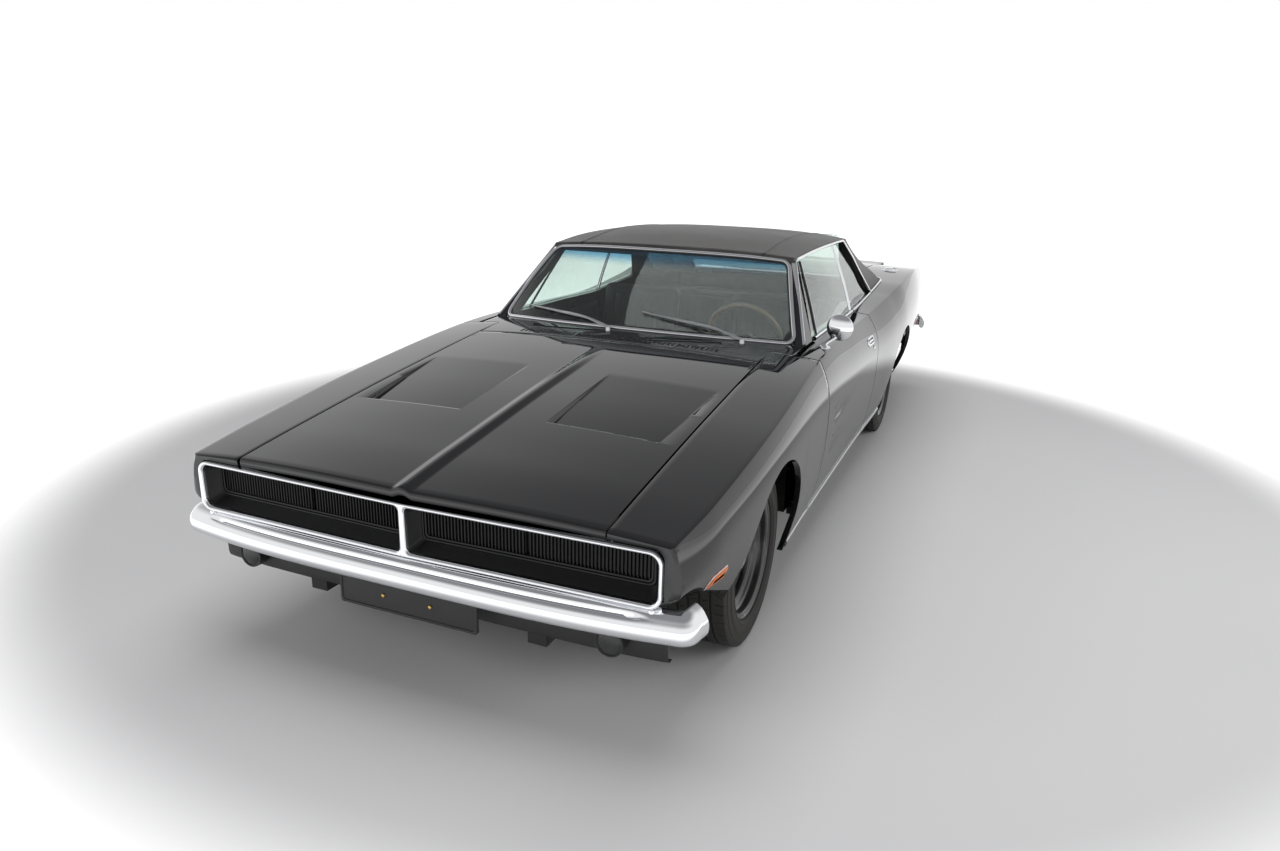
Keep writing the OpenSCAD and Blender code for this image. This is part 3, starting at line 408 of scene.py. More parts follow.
def arch_edge(y, axle_y, low_z):
    """The lower edge of a side panel, which follows the wheel arch where there is one."""
    reach = arch_r ** 2 - (y - axle_y) ** 2
    return axle_z + math.sqrt(reach) if reach > 0 else low_z


def arch_places(start, end, axle_y, pitch):
    """Places along a panel, closer together where its arch turns down."""
    turn = [axle_y + arch_r * sind(a) for a in range(-90, 91, 5)]
    turn = [turn[0] - 0.0008] + turn + [turn[-1] + 0.0008]
    lead = steps(start, turn[0] - 0.012, max(2, round((turn[0] - start) / pitch)))
    return lead + turn + steps(turn[-1] + 0.012, end, max(2, round((end - turn[-1]) / pitch)))


def fender_row(y):
    """The fender's outline at y, from the hood's edge over the crest to the flange below."""
    inner = hood_w / 2 + gap
    low = arch_edge(y, front_axle_y, lower_z(y))
    top = [(x, y, top_z(y, x)) for x in steps(inner, shoulder_x(y), 12)]
    flank = [(side_x(y, z), y, z) for z in steps(shoulder_z(y), low, 34)[1:]]
    flange = [(flank[-1][0] - d, y, low + 0.0005) for d in (0.003, 0.022)]
    return top + flank + flange


def nose_cap(inner, low_z, high_z, r):
    """The fender's front face, between its own outline and the end of the grille's frame."""
    outline = fender_row(nose_y)[:-2]
    corners = [(inner[0], high_z), (inner[1] - r, high_z)]
    corners += [(inner[1] - r + r * sind(a), high_z - r + r * cosd(a))
                for a in range(10, 91, 10)]
    corners += [(inner[1], low_z + r)]
    lengths = [0.0]
    for a, b in zip(corners, corners[1:]):
        lengths.append(lengths[-1] + math.dist(a, b))
    run = [0.0]
    for a, b in zip(outline, outline[1:]):
        run.append(run[-1] + math.dist(a, b))
    rim = []
    for s in run:
        want = s / run[-1] * lengths[-1]
        k = min(len(corners) - 2, max(j for j in range(len(lengths)) if lengths[j] <= want + 1e-9))
        t = (want - lengths[k]) / (lengths[k + 1] - lengths[k])
        rim.append((mix(corners[k][0], corners[k + 1][0], t), mix(corners[k][1], corners[k + 1][1], t)))
    rows = []
    for t in (1.0, 0.75, 0.5, 0.25, 0.1, 0.03):
        rows.append([(mix(o[0], i[0], t), nose_y - 0.01 * math.sin(math.pi / 2 * min(1, t * 3)) + 0.004 * t,
                      mix(o[2], i[1], t)) for o, i in zip(outline, rim)])
    return rows + [outline]


fender_places = arch_places(nose_y, door_front_y - gap / 2, front_axle_y, 0.022)
grille_frame_low, grille_frame_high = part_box("grille_surround")
for side, name in sides:
    rows = [fender_row(y) for y in fender_places]
    cap = nose_cap((hood_w / 2 + gap, grille_frame_high[0] + 0.001), grille_frame_low[2] + 0.002,
                   grille_frame_high[2] + 0.002, 0.034)
    cap = [row + [row[-1], row[-1]] for row in cap[:-1]]
    skin = panel(f"front_fender_skin_{name}", cap + rows, paint, side)
    weld = skin.modifiers.new("weld", "WELD")
    weld.merge_threshold = 0.0002
    fit(skin, "body_paint", f"front_fender_{name}", thickness=panel_t, bevel=0.0012)


# Hood. An outer skin on a braced inner one, hinged at its rear corners. A thin ridge
# runs down its middle, and two recesses with sharp rims are deepest at their front.
hood_front_y = nose_y + 0.008
hood_rear_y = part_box("hood")[1][1]
recess_front_y = front_axle_y - 0.31
recess_rear_y = front_axle_y + 0.19
recess_in_x = 0.18
recess_d = 0.02


def recess_out_x(y):
    return mix(0.6, 0.636, (y - recess_front_y) / (recess_rear_y - recess_front_y))


def hood_z(y, x):
    """Height of the hood's skin, with its ridge and recesses."""
    flank = 1 - ease(0.004, 0.04, abs(x))
    ridge = 0.011 * flank * (1 - ease(front_axle_y + 0.1, hood_rear_y - 0.08, y))
    run = (recess_rear_y - y) / (recess_rear_y - recess_front_y)
    depth = recess_d * max(0.0, min(1.0, run)) * ease(recess_front_y - 0.003, recess_front_y + 0.003, y)
    across = ease(recess_in_x - 0.004, recess_in_x + 0.004, abs(x))
    across *= ease(recess_out_x(y) + 0.004, recess_out_x(y) - 0.004, abs(x))
    return top_z(y, x) + ridge - depth * across


def hood_row(y):
    half = hood_w / 2
    rim = recess_out_x(y)
    right = (steps(0.0, 0.044, 11) + steps(0.06, recess_in_x - 0.005, 4)
             + steps(recess_in_x - 0.004, recess_in_x + 0.004, 4))
    right += (steps(recess_in_x + 0.012, rim - 0.012, 14) + steps(rim - 0.004, rim + 0.004, 4)
              + [half - 0.01, half - 0.002, half])
    across = [-x for x in right[:0:-1]] + right
    lead = 0.026 * ease(hood_front_y + 0.4, hood_front_y, y)
    return [(x, y - lead * (1 - abs(x) / half), hood_z(y, x)) for x in across]


hood_places = (steps(hood_front_y, recess_front_y - 0.01, 24)
               + steps(recess_front_y - 0.004, recess_front_y + 0.004, 4))
hood_places += steps(recess_front_y + 0.012, recess_rear_y, 26) + steps(recess_rear_y + 0.02, hood_rear_y, 20)
hood_rows = [hood_row(y) for y in hood_places]


def mm(*points):
    """Points of an outline, given in millimetres, as metres."""
    return [tuple(value / 1000 for value in point) for point in points]


lip_drop = mm((30, 10), (24, 13), (12, 13.5), (5, 11), (1.5, 6))
lip = [[(p[0], p[1] - ahead_by + 0.002, p[2] - drop) for p in hood_rows[0]] for drop, ahead_by in lip_drop]
hood_skin = panel("hood_skin", lip + hood_rows, paint)
fit(hood_skin, "body_paint", "hood", thickness=0.006, bevel=0.0012, crease=50, body="hood")
brace_rows = []
for y in steps(hood_front_y + 0.05, hood_rear_y - 0.03, 60):
    row = []
    for x in steps(-hood_w / 2 + 0.02, hood_w / 2 - 0.02, 60):
        bay_x = (abs(x) % 0.215) / 0.215
        bay_y = ((y - hood_front_y) % 0.29) / 0.29
        bay = ease(0.12, 0.22, bay_x) * ease(0.88, 0.78, bay_x)
        bay *= ease(0.12, 0.2, bay_y) * ease(0.88, 0.8, bay_y)
        row.append((x, y, top_z(y, x) - 0.0245 + 0.003 * bay))
    brace_rows.append(row[::-1])
brace = panel("hood_brace", brace_rows, paint)
fit(brace, "body_paint", thickness=0.0012, body="hood")


# Cowl. The painted panel between the hood and the windshield, welded to the firewall.
# Its fresh-air slots are not cut: near-black patches on the skin are painted shade.
belt_x = half_w - 0.2
header_y = door_front_y + 0.494
backlight_top_y = rear_axle_y - 0.6
backlight_low_y = rear_axle_y - 0.02
seat_gap = 0.0003


def windshield_low_y(u):
    return door_front_y + 0.024 + 0.135 * abs(u) ** 2.5


cowl_rows = []
for y in steps(0.0, 1.0, 16):
    row = []
    for x in steps(-belt_x - 0.005, belt_x + 0.005, 100):
        start = hood_rear_y + gap if abs(x) < hood_w / 2 + 0.0035 else door_front_y + gap / 2
        end = min(windshield_low_y(min(1.0, abs(x) / (belt_x - 0.034))) + 0.014, door_front_y + 0.16)
        place = mix(start, end, y)
        row.append((x, place, top_z(place, x)))
    cowl_rows.append(row)
fit(panel("cowl_skin", cowl_rows, paint), "body_paint", thickness=0.005, bevel=0.001)
# The slots are flat near-black matte patches laid on the cowl: painted shade of the openings.
slot_shade = Finish("slot_shadow", uneven=(40.0, 0.75, 0.2), base_color=(0.004, 0.004, 0.004), roughness=0.9)
slot_verts, slot_faces = [], []
slot_y = hood_rear_y + gap + 0.052
for i in range(44):
    x = (i - 21.5) * 0.022
    for dx, dy in mm((-5, -20), (5, -20), (5, 20), (-5, 20)):
        slot_verts.append((x + dx, slot_y + dy, top_z(slot_y + dy, x) + 0.0006))
    slot_faces.append(tuple(range(4 * i, 4 * i + 4)))
fit(stand("cowl_slot_shades", slot_verts, slot_faces, slot_shade), "body_paint", thickness=0.0004)


# Doors. Each is a steel shell with a padded inner panel, hung on the hinge pillar.
# Two shallow scallops run back from the front of the outer skin, and the handle is a
# bright flap over a flat dark sheet, painted shade in place of a dished recess.
floor_half = half_w - 0.183
rocker_top = 0.268
sill_y = (door_front_y + 0.286, door_front_y + 0.338)


def scallop(y, z):
    """How far the outer skin is pressed in by the two shallow scallops of the door."""
    run = y - door_front_y - 0.15
    if run < 0 or run > 0.52:
        return 0.0
    press = 0.0
    for height in (0.64, 0.5):
        rise = (z - height - 0.03 * run) / (0.052 * (1 - 0.55 * run / 0.52))
        press += 0.011 * max(0.0, 1 - rise * rise) ** 1.5
    return press * ease(0.0, 0.025, run) * ease(0.52, 0.06, run)


def wall_section(y, inner_x, low_z, tops, rows, solid, pressed=False):
    """A panel as thick as the cabin wall, thinned to its skin where solid is 0."""
    skin = 0.008
    line = [(x, top_z(y, x)) for x in steps(inner_x, shoulder_x(y), tops)]
    for z in steps(shoulder_z(y), low_z, rows)[1:]:
        line.append((side_x(y, z) - (scallop(y, z) if pressed else 0.0), z))
    top = top_z(y, inner_x)
    inner = []
    for j, (x, z) in enumerate(line):
        above = j <= tops
        thin = (x - (0 if above and j < tops else skin), z - (skin if above else 0))
        inner_z = top - skin - 0.06 * j / tops if above else mix(top - skin - 0.06, low_z, (j - tops) / rows)
        share = (inner_z - low_z) / (top - low_z)
        full = (mix(floor_half + 0.008, inner_x + 0.002, share), inner_z)
        inner.append((mix(thin[0], full[0], solid), mix(thin[1], full[1], solid)))
    return [(x, y, z) for x, z in line + inner[::-1]]


def shell(name, sections, finish, side=1):
    """A closed piece through outlines of equal length, capped at both ends."""
    return panel(name, sections, finish, side, wrap=True, ends="sewn")


def door_inner_x(y):
    return mix(belt_x + 0.028, belt_x - 0.04, ease(sill_y[0], sill_y[1], y))


def door_sections():
    front, rear = door_front_y + gap / 2, door_rear_y - gap / 2
    places = (steps(front, front + 0.014, 2) + steps(front + 0.02, front + 0.16, 12)
              + steps(front + 0.175, sill_y[0], 6))
    places += steps(sill_y[0] + 0.01, sill_y[1], 5) + steps(sill_y[1] + 0.02, rear - 0.07, 40)
    places += steps(rear - 0.05, rear - 0.014, 3) + [rear - 0.006, rear]
    for y in places:
        solid = ease(front + 0.01, front + 0.05, y) * ease(rear - 0.01, rear - 0.036, y)
        yield wall_section(y, door_inner_x(y), rocker_top + gap, 8, 44, solid, pressed=True)


door_shell_sections = list(door_sections())
for side, name in sides:
    fit(shell(f"door_shell_{name}", door_shell_sections, paint, side), "body_paint",
        f"door_{name}", bevel=0.0012, body=f"door_{name}")


# Quarter panels. The rear side of the body, one stamping from the door to the tail,
# with the crest that swells over the rear wheel and the flange round its arch.
def quarter_in(y):
    return mix(belt_x - 0.014, deck_w / 2 + gap, ease(rear_axle_y - 0.04, pillar_tail_y, y))


pillar_tail_y = rear_axle_y + 0.31
wall_end_y = rear_axle_y - arch_r - 0.021


def quarter_section(y):
    solid = ease(door_rear_y + 0.01, door_rear_y + 0.06, y) * ease(wall_end_y, wall_end_y - 0.06, y)
    below = rocker_top if y < rear_axle_y else lower_z(y)
    return wall_section(y, quarter_in(y), arch_edge(y, rear_axle_y, below), 12, 40, solid)


quarter_places = [door_rear_y + gap / 2, door_rear_y + gap / 2 + 0.006]
quarter_places += arch_places(door_rear_y + 0.018, tail_y - 0.004, rear_axle_y, 0.026) + [tail_y]
quarter_sections = [quarter_section(y) for y in quarter_places]
for side, name in sides:
    fit(shell(f"quarter_skin_{name}", quarter_sections, paint, side), "body_paint",
        f"quarter_panel_{name}", bevel=0.0012)
    flange = []
    for a in range(-90, 91, 3):
        y = rear_axle_y + (arch_r + 0.001) * sind(a)
        z = axle_z + (arch_r + 0.001) * cosd(a)
        x = side_x(y, z)
        flange.append([
            (x - 0.002, y, z), (x - 0.03, y, z), (x - 0.03, y, z + 0.004), (x - 0.004, y, z + 0.004)])
    fit(shell(f"rear_arch_flange_{name}", flange, paint, side), "body_paint", bevel=0.0006)


# Sills below the doors, painted like the body, with a bright moulding clipped along
# their outer face.
def once(side, node):
    """The node that a pair of pieces replaces, named by the first of the two."""
    return (node,) if side > 0 else ()


def rocker_section(y):
    heights = steps(rocker_top - seat_gap, lower_z(y), 8)
    outer = [(side_x(y, z), y, z) for z in heights]
    return outer + [(floor_half + seat_gap, y, z) for z in heights[::-1]]


chrome = Finish("bright_chrome", base_color=(0.8, 0.81, 0.83), metallic=1.0, roughness=0.05)
chrome.wear({"Roughness": chrome.noise(9.0, detail=3.0) * 0.05 + 0.025})
rocker_front, rocker_rear = door_front_y + gap / 2, rear_axle_y - arch_r - 0.004
rocker_rows = [rocker_section(y) for y in steps(rocker_front, rocker_rear, 40)]
trim_rows = []
for y in steps(front_axle_y + arch_r + 0.016, rocker_rear - 0.012, 60):
    low, high = lower_z(y) + 0.012, lower_z(y) + 0.04
    row = []
    for a in range(0, 181, 20):
        z = mix(low, high, 0.5 - 0.5 * cosd(a))
        row.append((side_x(y, z) + 0.006 * sind(a) ** 0.7 - 0.001, y, z))
    row += [(side_x(y, high) - 0.003, y, high), (side_x(y, low) - 0.003, y, low)]
    trim_rows.append(row[::-1])
for side, name in sides:
    fit(shell(f"sill_{name}", rocker_rows, paint, side), "body_paint",
        *once(side, "rocker_panels"), bevel=0.001)
    fit(shell(f"sill_moulding_{name}", trim_rows, chrome, side), "chrome")


# Deck lid: a stamping like the hood, with a slight lip along its rear edge.
deck_front_y, deck_rear_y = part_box("deck_lid")[0][1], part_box("deck_lid")[1][1]
deck_rows = []
for y in steps(deck_front_y, deck_rear_y, 50):
    lift = 0.012 * ease(deck_rear_y - 0.22, deck_rear_y, y)
    deck_rows.append([(x, y, top_z(y, x) + lift) for x in steps(-deck_w / 2, deck_w / 2, 40)])
tuck = [[(p[0], p[1] - 0.001, p[2] - drop) for p in deck_rows[-1]] for drop in (0.004, 0.016)]
fit(
    panel("deck_lid_skin", deck_rows + tuck, paint), "body_paint", "deck_lid", thickness=0.006,
    bevel=0.0012, crease=50, body="deck_lid")


# Rear deck: the painted panel between the sunk rear window and the deck lid, welded to
# the quarter panels.
pillar_in_x = deck_w / 2 + gap
shelf_rows = []
for y in [backlight_low_y - 0.034] + steps(backlight_low_y - 0.004, deck_front_y - gap, 14):
    sink = 0.01 if y < backlight_low_y - 0.01 else 0.0
    shelf_rows.append([
        (x, y, top_z(y, x) + 0.001 - sink)
        for x in steps(-pillar_in_x + seat_gap, pillar_in_x - seat_gap, 40)])
fit(panel("rear_deck_skin", shelf_rows, paint), "body_paint", thickness=0.005, bevel=0.001)


# Tail panel: the flat black panel that closes the rear between the quarter panels, and
# the apron below the rear bumper. Its two wide lamps sit in bright frames.
tail_z = steps(0.45, 0.96, 26)
tail_x = [side_x(tail_y, z) - 0.011 for z in tail_z]
tail_rows = []
for i, z in enumerate(tail_z):
    edge = tail_x[i]
    row = []
    for x in steps(-edge, edge, 80):
        high = top_z(tail_y, x) - 0.004
        row.append((x, tail_y - 0.004 - 0.008 * (x / half_w) ** 2, min(z, high)))
    tail_rows.append(row[::-1])
tail_rows.append([(x, y - 0.016, z + 0.001) for x, y, z in tail_rows[-1]])
fit(panel("tail_skin", tail_rows, paint), "body_paint", "tail_panel", thickness=0.004, bevel=0.001)
apron_rows = []
for t in steps(0.0, 1.0, 10):
    z = mix(0.455, 0.352, t)
    row = [
        (x, tail_y - 0.014 - 0.05 * t ** 1.6 - 0.02 * (abs(x) / half_w) ** 4, z)
        for x in steps(-half_w + 0.16, half_w - 0.16, 40)]
    apron_rows.append(row)
fit(panel("tail_apron", apron_rows, paint), "body_paint", thickness=0.003, bevel=0.0008)


def ring(name, outlines, finish, closed=True, side=1):
    """A band through nested outlines that each close on themselves."""
    return panel(name, outlines, finish, side, wrap=True, ends="joined" if closed else "open")


def round_box(low, high, radii, points=8):
    """A rectangle's outline, counterclockwise, with a radius for each corner from low."""
    corners = ((high[0], high[1], 0), (low[0], high[1], 90), (low[0], low[1], 180), (high[0], low[1], 270))
    outline = []
    for (x, z, start), r in zip(corners, radii):
        cx = x - r if x == high[0] else x + r
        cz = z - r if z == high[1] else z + r
        for a in steps(start, start + 90, points):
            outline.append((cx + r * cosd(a), cz + r * sind(a)))
    return outline


red_lens = Finish(
    "red_lens", base_color=(0.3, 0.004, 0.006), roughness=0.3, specular_ior_level=0.15, coat_weight=0.35,
    coat_roughness=0.03)
lens_rib = (red_lens.along("X").cycle(0.016) - 0.5).size()
red_lens.wear({
    "Base Color": red_lens.blend(lens_rib.ramp(0.1, 0.5), (0.5, 0.004, 0.005), (0.22, 0.002, 0.002))})
red_lens.bump(lens_rib, distance=0.0012)
housing_black = Finish(
    "lamp_housing_black", uneven=(60.0, 0.5, 0.2), base_color=(0.01, 0.01, 0.01), roughness=0.6)
lamp_low, lamp_high = 0.745, 0.85
lamp_parts = (
    ("housing", 0.004, housing_black, "grille_black", ((0.0, -0.006), (0.0, -0.045), (0.01, -0.055))),
    ("lens", 0.0, red_lens, "red_lens", mm((0, -4), (0, 2.4), (3, 4), (12, 5), (40, 5.6))),
    ("bezel", 0.012, chrome, "chrome",
     mm((0, -4), (0, 6), (4, 10), (12, 11), (13, 7), (20, -2))),
)
for side, name in sides:
    for part, grow, finish, slot, profile in lamp_parts:
        outlines = []
        for inset, back in profile:
            low = (0.032 - grow + inset, lamp_low - grow + inset * 0.9)
            high = (0.768 + grow - inset, lamp_high + grow - inset * 0.9)
            box = round_box(low, high, [max(0.004, 0.02 + grow - inset)] * 4)
            outlines.append([(x, tail_y - 0.004 - 0.008 * (x / half_w) ** 2 + back, z) for x, z in box])
        if part == "housing":
            outlines.reverse()
        piece = ring(f"tail_{part}_{name}", outlines[::-1], finish, closed=part == "bezel", side=side)
        if part != "bezel":
            work = bmesh.new()
            work.from_mesh(piece.data)
            bmesh.ops.holes_fill(work, edges=[e for e in work.edges if e.is_boundary], sides=0)
            work.to_mesh(piece.data)
            work.free()
        fit(piece, slot, *once(side if part == "lens" else 0, "tail_lamps"))


# Roof. A steel skin covered in black grained vinyl, with two sewn seams along it, and
# a long sail of the same vinyl that runs down each side of the sunk rear window.
rail_in = (0.341, 0.324, 0.315, 0.325, 0.34)
rail_drop = (0.068, 0.052, 0.048, 0.066, 0.12)
roof_y = (header_y, header_y + 0.28, header_y + 0.58, backlight_top_y, backlight_top_y + 0.4)
roof_drop = (0.048, 0.012, 0.0, 0.03, 0.095)
quarter_tip_y = rear_axle_y - 0.4


def rail_x(y):
    return half_w - curve(roof_y, rail_in, y)


def rail_z(y):
    return roof_h - curve(roof_y, rail_drop, y)


def roof_z(y, x):
    crown = roof_h - curve(roof_y, roof_drop, y)
    return crown - (crown - rail_z(y)) * (abs(x) / rail_x(y)) ** 3


def pillar_front_y(w):
    return quarter_tip_y + 0.01 - 0.34 * w ** 1.3


def pillar_out_x(y):
    return mix(belt_x + 0.01, pillar_in_x + 0.016, ease(rear_axle_y - 0.04, pillar_tail_y, y))


def pillar_crest_z(y, drop=0.0):
    """Height of the sail's upper edge, which starts level with the roof's."""
    t = max(0.0, (y - backlight_top_y) / (pillar_tail_y - backlight_top_y))
    return mix(rail_z(min(y, backlight_top_y)) - drop, top_z(y, pillar_in_x) + 0.004, t ** 0.95)


vinyl = Finish("grained_vinyl", base_color=(0.024, 0.0225, 0.021), roughness=0.45, specular_ior_level=0.5)
grain = vinyl.cells(420.0, feature="SMOOTH_F1") + vinyl.noise(900.0, detail=3.0) * 0.5
seam_x = 0.48
seam = (vinyl.along("X").size() - seam_x).size()
worn = vinyl.noise(5.0, detail=5.0)
aged = vinyl.blend(worn.ramp(0.35, 0.75), (0.017, 0.016, 0.015), (0.036, 0.034, 0.032))
vinyl.wear({
    "Roughness": worn * 0.2 + 0.32,
    "Base Color": vinyl.blend(seam.ramp(0.0015, 0.004), (0.002, 0.002, 0.002), aged)})
vinyl.bump(grain, distance=0.0012, strength=0.6)


def roof_columns(edge):
    """Places across the roof, close together at its two seams."""
    half = (steps(0.0, seam_x - 0.012, 30) + steps(seam_x - 0.01, seam_x + 0.01, 10)
            + steps(seam_x + 0.012, edge, 14))
    return [-x for x in half[:0:-1]] + half


roof_start, roof_end = header_y - 0.01, backlight_top_y + 0.01
roof_rows = []
for y in steps(roof_start, roof_end, 46):
    row = []
    for x in roof_columns(rail_x(y)):
        near = abs(abs(x) - seam_x)
        welt = 0.0034 * max(0.0, 1 - (near / 0.009) ** 2)
        row.append((x, y, roof_z(y, x) + welt - 0.0022))
    roof_rows.append(row)
front_tuck = [[(p[0], p[1] - 0.006, p[2] - d) for p in roof_rows[0]] for d in (0.022, 0.006)]
rear_tuck = [[(p[0], p[1] + 0.006, p[2] - d) for p in roof_rows[-1]] for d in (0.005, 0.026)]
fit(
    panel("roof_skin", front_tuck + roof_rows + rear_tuck, vinyl), "vinyl", "roof_panel", thickness=0.006,
    crease=60)


def sail_section(t):
    outer, inner = [], []
    for w in steps(0.0, 1.0, 18):
        y = mix(pillar_front_y(w), pillar_tail_y - 0.006, t)
        crest_x = min(rail_x(min(y, backlight_top_y)), pillar_out_x(y))
        low = top_z(y, quarter_in(y)) + 0.0006
        x = mix(pillar_out_x(y), crest_x, w) + 0.01 * math.sin(math.pi * w)
        outer.append((x, y, mix(low, max(pillar_crest_z(y), low + 0.003), w) - 0.002))
        inner_x = mix(pillar_in_x, crest_x - 0.022, w ** 2)
        inner.append((inner_x, y, mix(low, max(pillar_crest_z(y), low + 0.003), w) - 0.004))
    return outer + inner[::-1]


sail_sections = [sail_section(t) for t in steps(0.0, 1.0, 60)]
lining = Finish("cloth_lining", base_color=(0.035, 0.035, 0.037), roughness=0.9, specular_ior_level=0.2)
lining.bump(
    (lining.along("X").cycle(0.003) - 0.5).size() * (lining.along("Y").cycle(0.003) - 0.5).size(),
    distance=0.0004)
lining_rows = []
for y in steps(header_y + 0.064, backlight_top_y - 0.004, 60):
    bow = 0.004 * abs(math.sin(math.pi * (y - header_y) / 0.27)) ** 0.6
    lining_rows.append([
        (x, y, roof_z(y, x / 0.97) - 0.019 + bow * 0.5)
        for x in steps(-rail_x(y) * 0.965, rail_x(y) * 0.965, 40)][::-1])
fit(panel("headliner", lining_rows, lining), "vinyl", thickness=0.003)
for side, name in sides:
    fit(shell(f"sail_{name}", sail_sections, vinyl, side), "vinyl", bevel=0.0015, crease=50)


# Bright trim of the greenhouse: rolled stainless strips pushed over clips round the
# windshield, along the drip rails and under the edge of the vinyl.
def sweep(name, path, profile, finish, side=1, up=(0.0, 0.0, 1.0), ups=None, closed=False):
    """A closed profile of (across, out) points, carried along a path."""
    points = [Vector(p) for p in path]
    count = len(points)
    sections = []
    for i, p in enumerate(points):
        after = points[(i + 1) % count] if closed else points[min(i + 1, count - 1)]
        before = points[i - 1] if closed else points[max(i - 1, 0)]
        run = (after - before).normalized()
        across = run.cross(Vector(ups[i] if ups else up)).normalized()
        out = across.cross(run)
        sections.append([tuple(p + across * a + out * b) for a, b in profile])
    if closed:
        return ring(name, sections, finish, side=side)
    return shell(name, sections, finish, side)


def windshield_point(u, w, out=0.0):
    """A point of the windshield: u across from -1 to 1, w up from 0 to 1."""
    low_x = (belt_x - 0.034) * u
    low_y = windshield_low_y(u)
    high_x = (rail_x(header_y) - 0.022) * u
    low = Vector((low_x, low_y, top_z(low_y, low_x) + seat_gap))
    high = Vector((high_x, header_y - 0.054 + 0.04 * u ** 2, roof_z(header_y, high_x) - 0.016))
    bow = math.sin(math.pi * w)
    return low.lerp(high, w) + Vector((0.0, -0.014 * bow - 0.55 * out, 0.01 * bow + 0.83 * out))


def backlight_point(u, w, out=0.0):
    """A point of the rear window: u across from -1 to 1, w from its top to its bottom."""
    y = mix(backlight_top_y + 0.012, backlight_low_y, w)
    high = roof_z(backlight_top_y, 0) - 0.012
    z = (mix(high, top_z(backlight_low_y, 0) + 0.007, w) - 0.012 * u ** 2 * (1 - w)
         - 0.018 * math.sin(math.pi * w))
    return Vector(((pillar_in_x - 0.0006) * u, y, z + out))


def window_edge(point, corner_u, corner_w, low, high):
    """The window's rim and the directions out of the glass there, with rounded corners."""
    path, spots = [], []
    for cx, cz, start in ((1 - corner_u, high - corner_w, 0), (-1 + corner_u, high - corner_w, 90),
                          (-1 + corner_u, low + corner_w, 180), (1 - corner_u, low + corner_w, 270)):
        for a in steps(start, start + 90, 6):
            spots.append((cx + corner_u * cosd(a), cz + corner_w * sind(a)))
    for k, spot in enumerate(spots):
        after = spots[(k + 1) % len(spots)]
        hops = max(1, round(math.dist(spot, after) * 14))
        path += [(mix(spot[0], after[0], i / hops), mix(spot[1], after[1], i / hops)) for i in range(hops)]
    return [point(u, w) for u, w in path], [point(u, w, 1.0) - point(u, w) for u, w in path]


def strip(name, path, width, height, finish, side=1, ups=None, closed=False, up=(0.0, 0.0, 1.0)):
    arc = [(-width / 2 * cosd(a), height * sind(a) ** 0.8) for a in steps(0, 180, 7)]
    profile = arc + [(width / 2, -0.002), (-width / 2, -0.002)]
    return sweep(name, path, profile[::-1], finish, side, up, ups, closed)


rubber = Finish("window_rubber", base_color=(0.012, 0.012, 0.012), roughness=0.62)
rubber.bump(rubber.noise(300.0), distance=0.0002)
rim_path, rim_ups = window_edge(windshield_point, 0.055, 0.1, low=0.012, high=0.985)
fit(strip("windshield_trim", rim_path, 0.018, 0.007, chrome, ups=rim_ups, closed=True), "chrome")
seal_path, seal_ups = window_edge(windshield_point, 0.055, 0.1, low=0.03, high=0.965)
seal_path = [Vector((p.x * 0.985, p.y, p.z)) for p in seal_path]
fit(strip("windshield_seal", seal_path, 0.014, 0.004, rubber, ups=seal_ups, closed=True), "vinyl")
rim_path, rim_ups = window_edge(backlight_point, 0.06, 0.05, low=0.012, high=0.988)
rim_path = [Vector((p.x * 0.985, p.y, p.z + 0.001)) for p in rim_path]
fit(strip("rear_window_trim", rim_path, 0.018, 0.006, chrome, ups=rim_ups, closed=True), "chrome")
post_low = (belt_x - 0.006, door_front_y + 0.15)
pane_out = (0.9, 0.0, 0.45)
for side, name in sides:
    rail = [(rail_x(header_y) + 0.004, header_y - 0.006, rail_z(header_y) - 0.02)]
    rail += [
        (rail_x(y) + 0.003, y, rail_z(y) - 0.012)
        for y in steps(header_y + 0.02, pillar_front_y(1.0) + 0.01, 50)]
    post = [(mix(post_low[0] + 0.012, rail[0][0], t), mix(post_low[1] + 0.014, rail[0][1], t),
             mix(top_z(post_low[1], post_low[0]) + 0.006, rail[0][2], t)) for t in steps(0.0, 0.96, 20)]
    tail = []
    for w in steps(0.97, 0.02, 26):
        y = pillar_front_y(w)
        crest_x = min(rail_x(min(y, backlight_top_y)), pillar_out_x(y))
        low = top_z(y, quarter_in(y)) + 0.0006
        tail.append((mix(pillar_out_x(y), crest_x, w) + 0.01 * math.sin(math.pi * w) + 0.001, y + 0.004,
                     mix(low, pillar_crest_z(y), w) - 0.003))
    path = post + rail + tail
    ups = [Vector((0.8, 0.0, 0.6))] * len(path)
    fit(strip(f"drip_rail_{name}", path, 0.013, 0.008, chrome, side, ups=ups), "chrome")
    hem = [(pillar_out_x(y) + 0.0025, y, top_z(y, quarter_in(y)) + 0.007)
           for y in steps(pillar_front_y(0.0) + 0.004, pillar_tail_y - 0.01, 40)]
    fit(strip(f"vinyl_hem_{name}", hem, 0.011, 0.004, chrome, side, up=pane_out), "chrome")


# Glass. Laminated windshield with a tinted band along its top, and tempered side and
# rear glass, all lightly green.
def glass_finish(name, tint, band=None):
    glass = Finish(name, base_color=tint, roughness=0.0, ior=1.5, transmission_weight=1.0)
    if band:
        share = glass.along("Z").ramp(*band)
        glass.wear({"Base Color": glass.blend(share, tint, (0.16, 0.42, 0.62))})
    else:
        glass.wear({
            "Base Color": glass.blend(
                glass.noise(0.7).ramp(0.3, 0.7), tint, (tint[0] * 0.97, tint[1], tint[2] * 0.98))})
    return glass


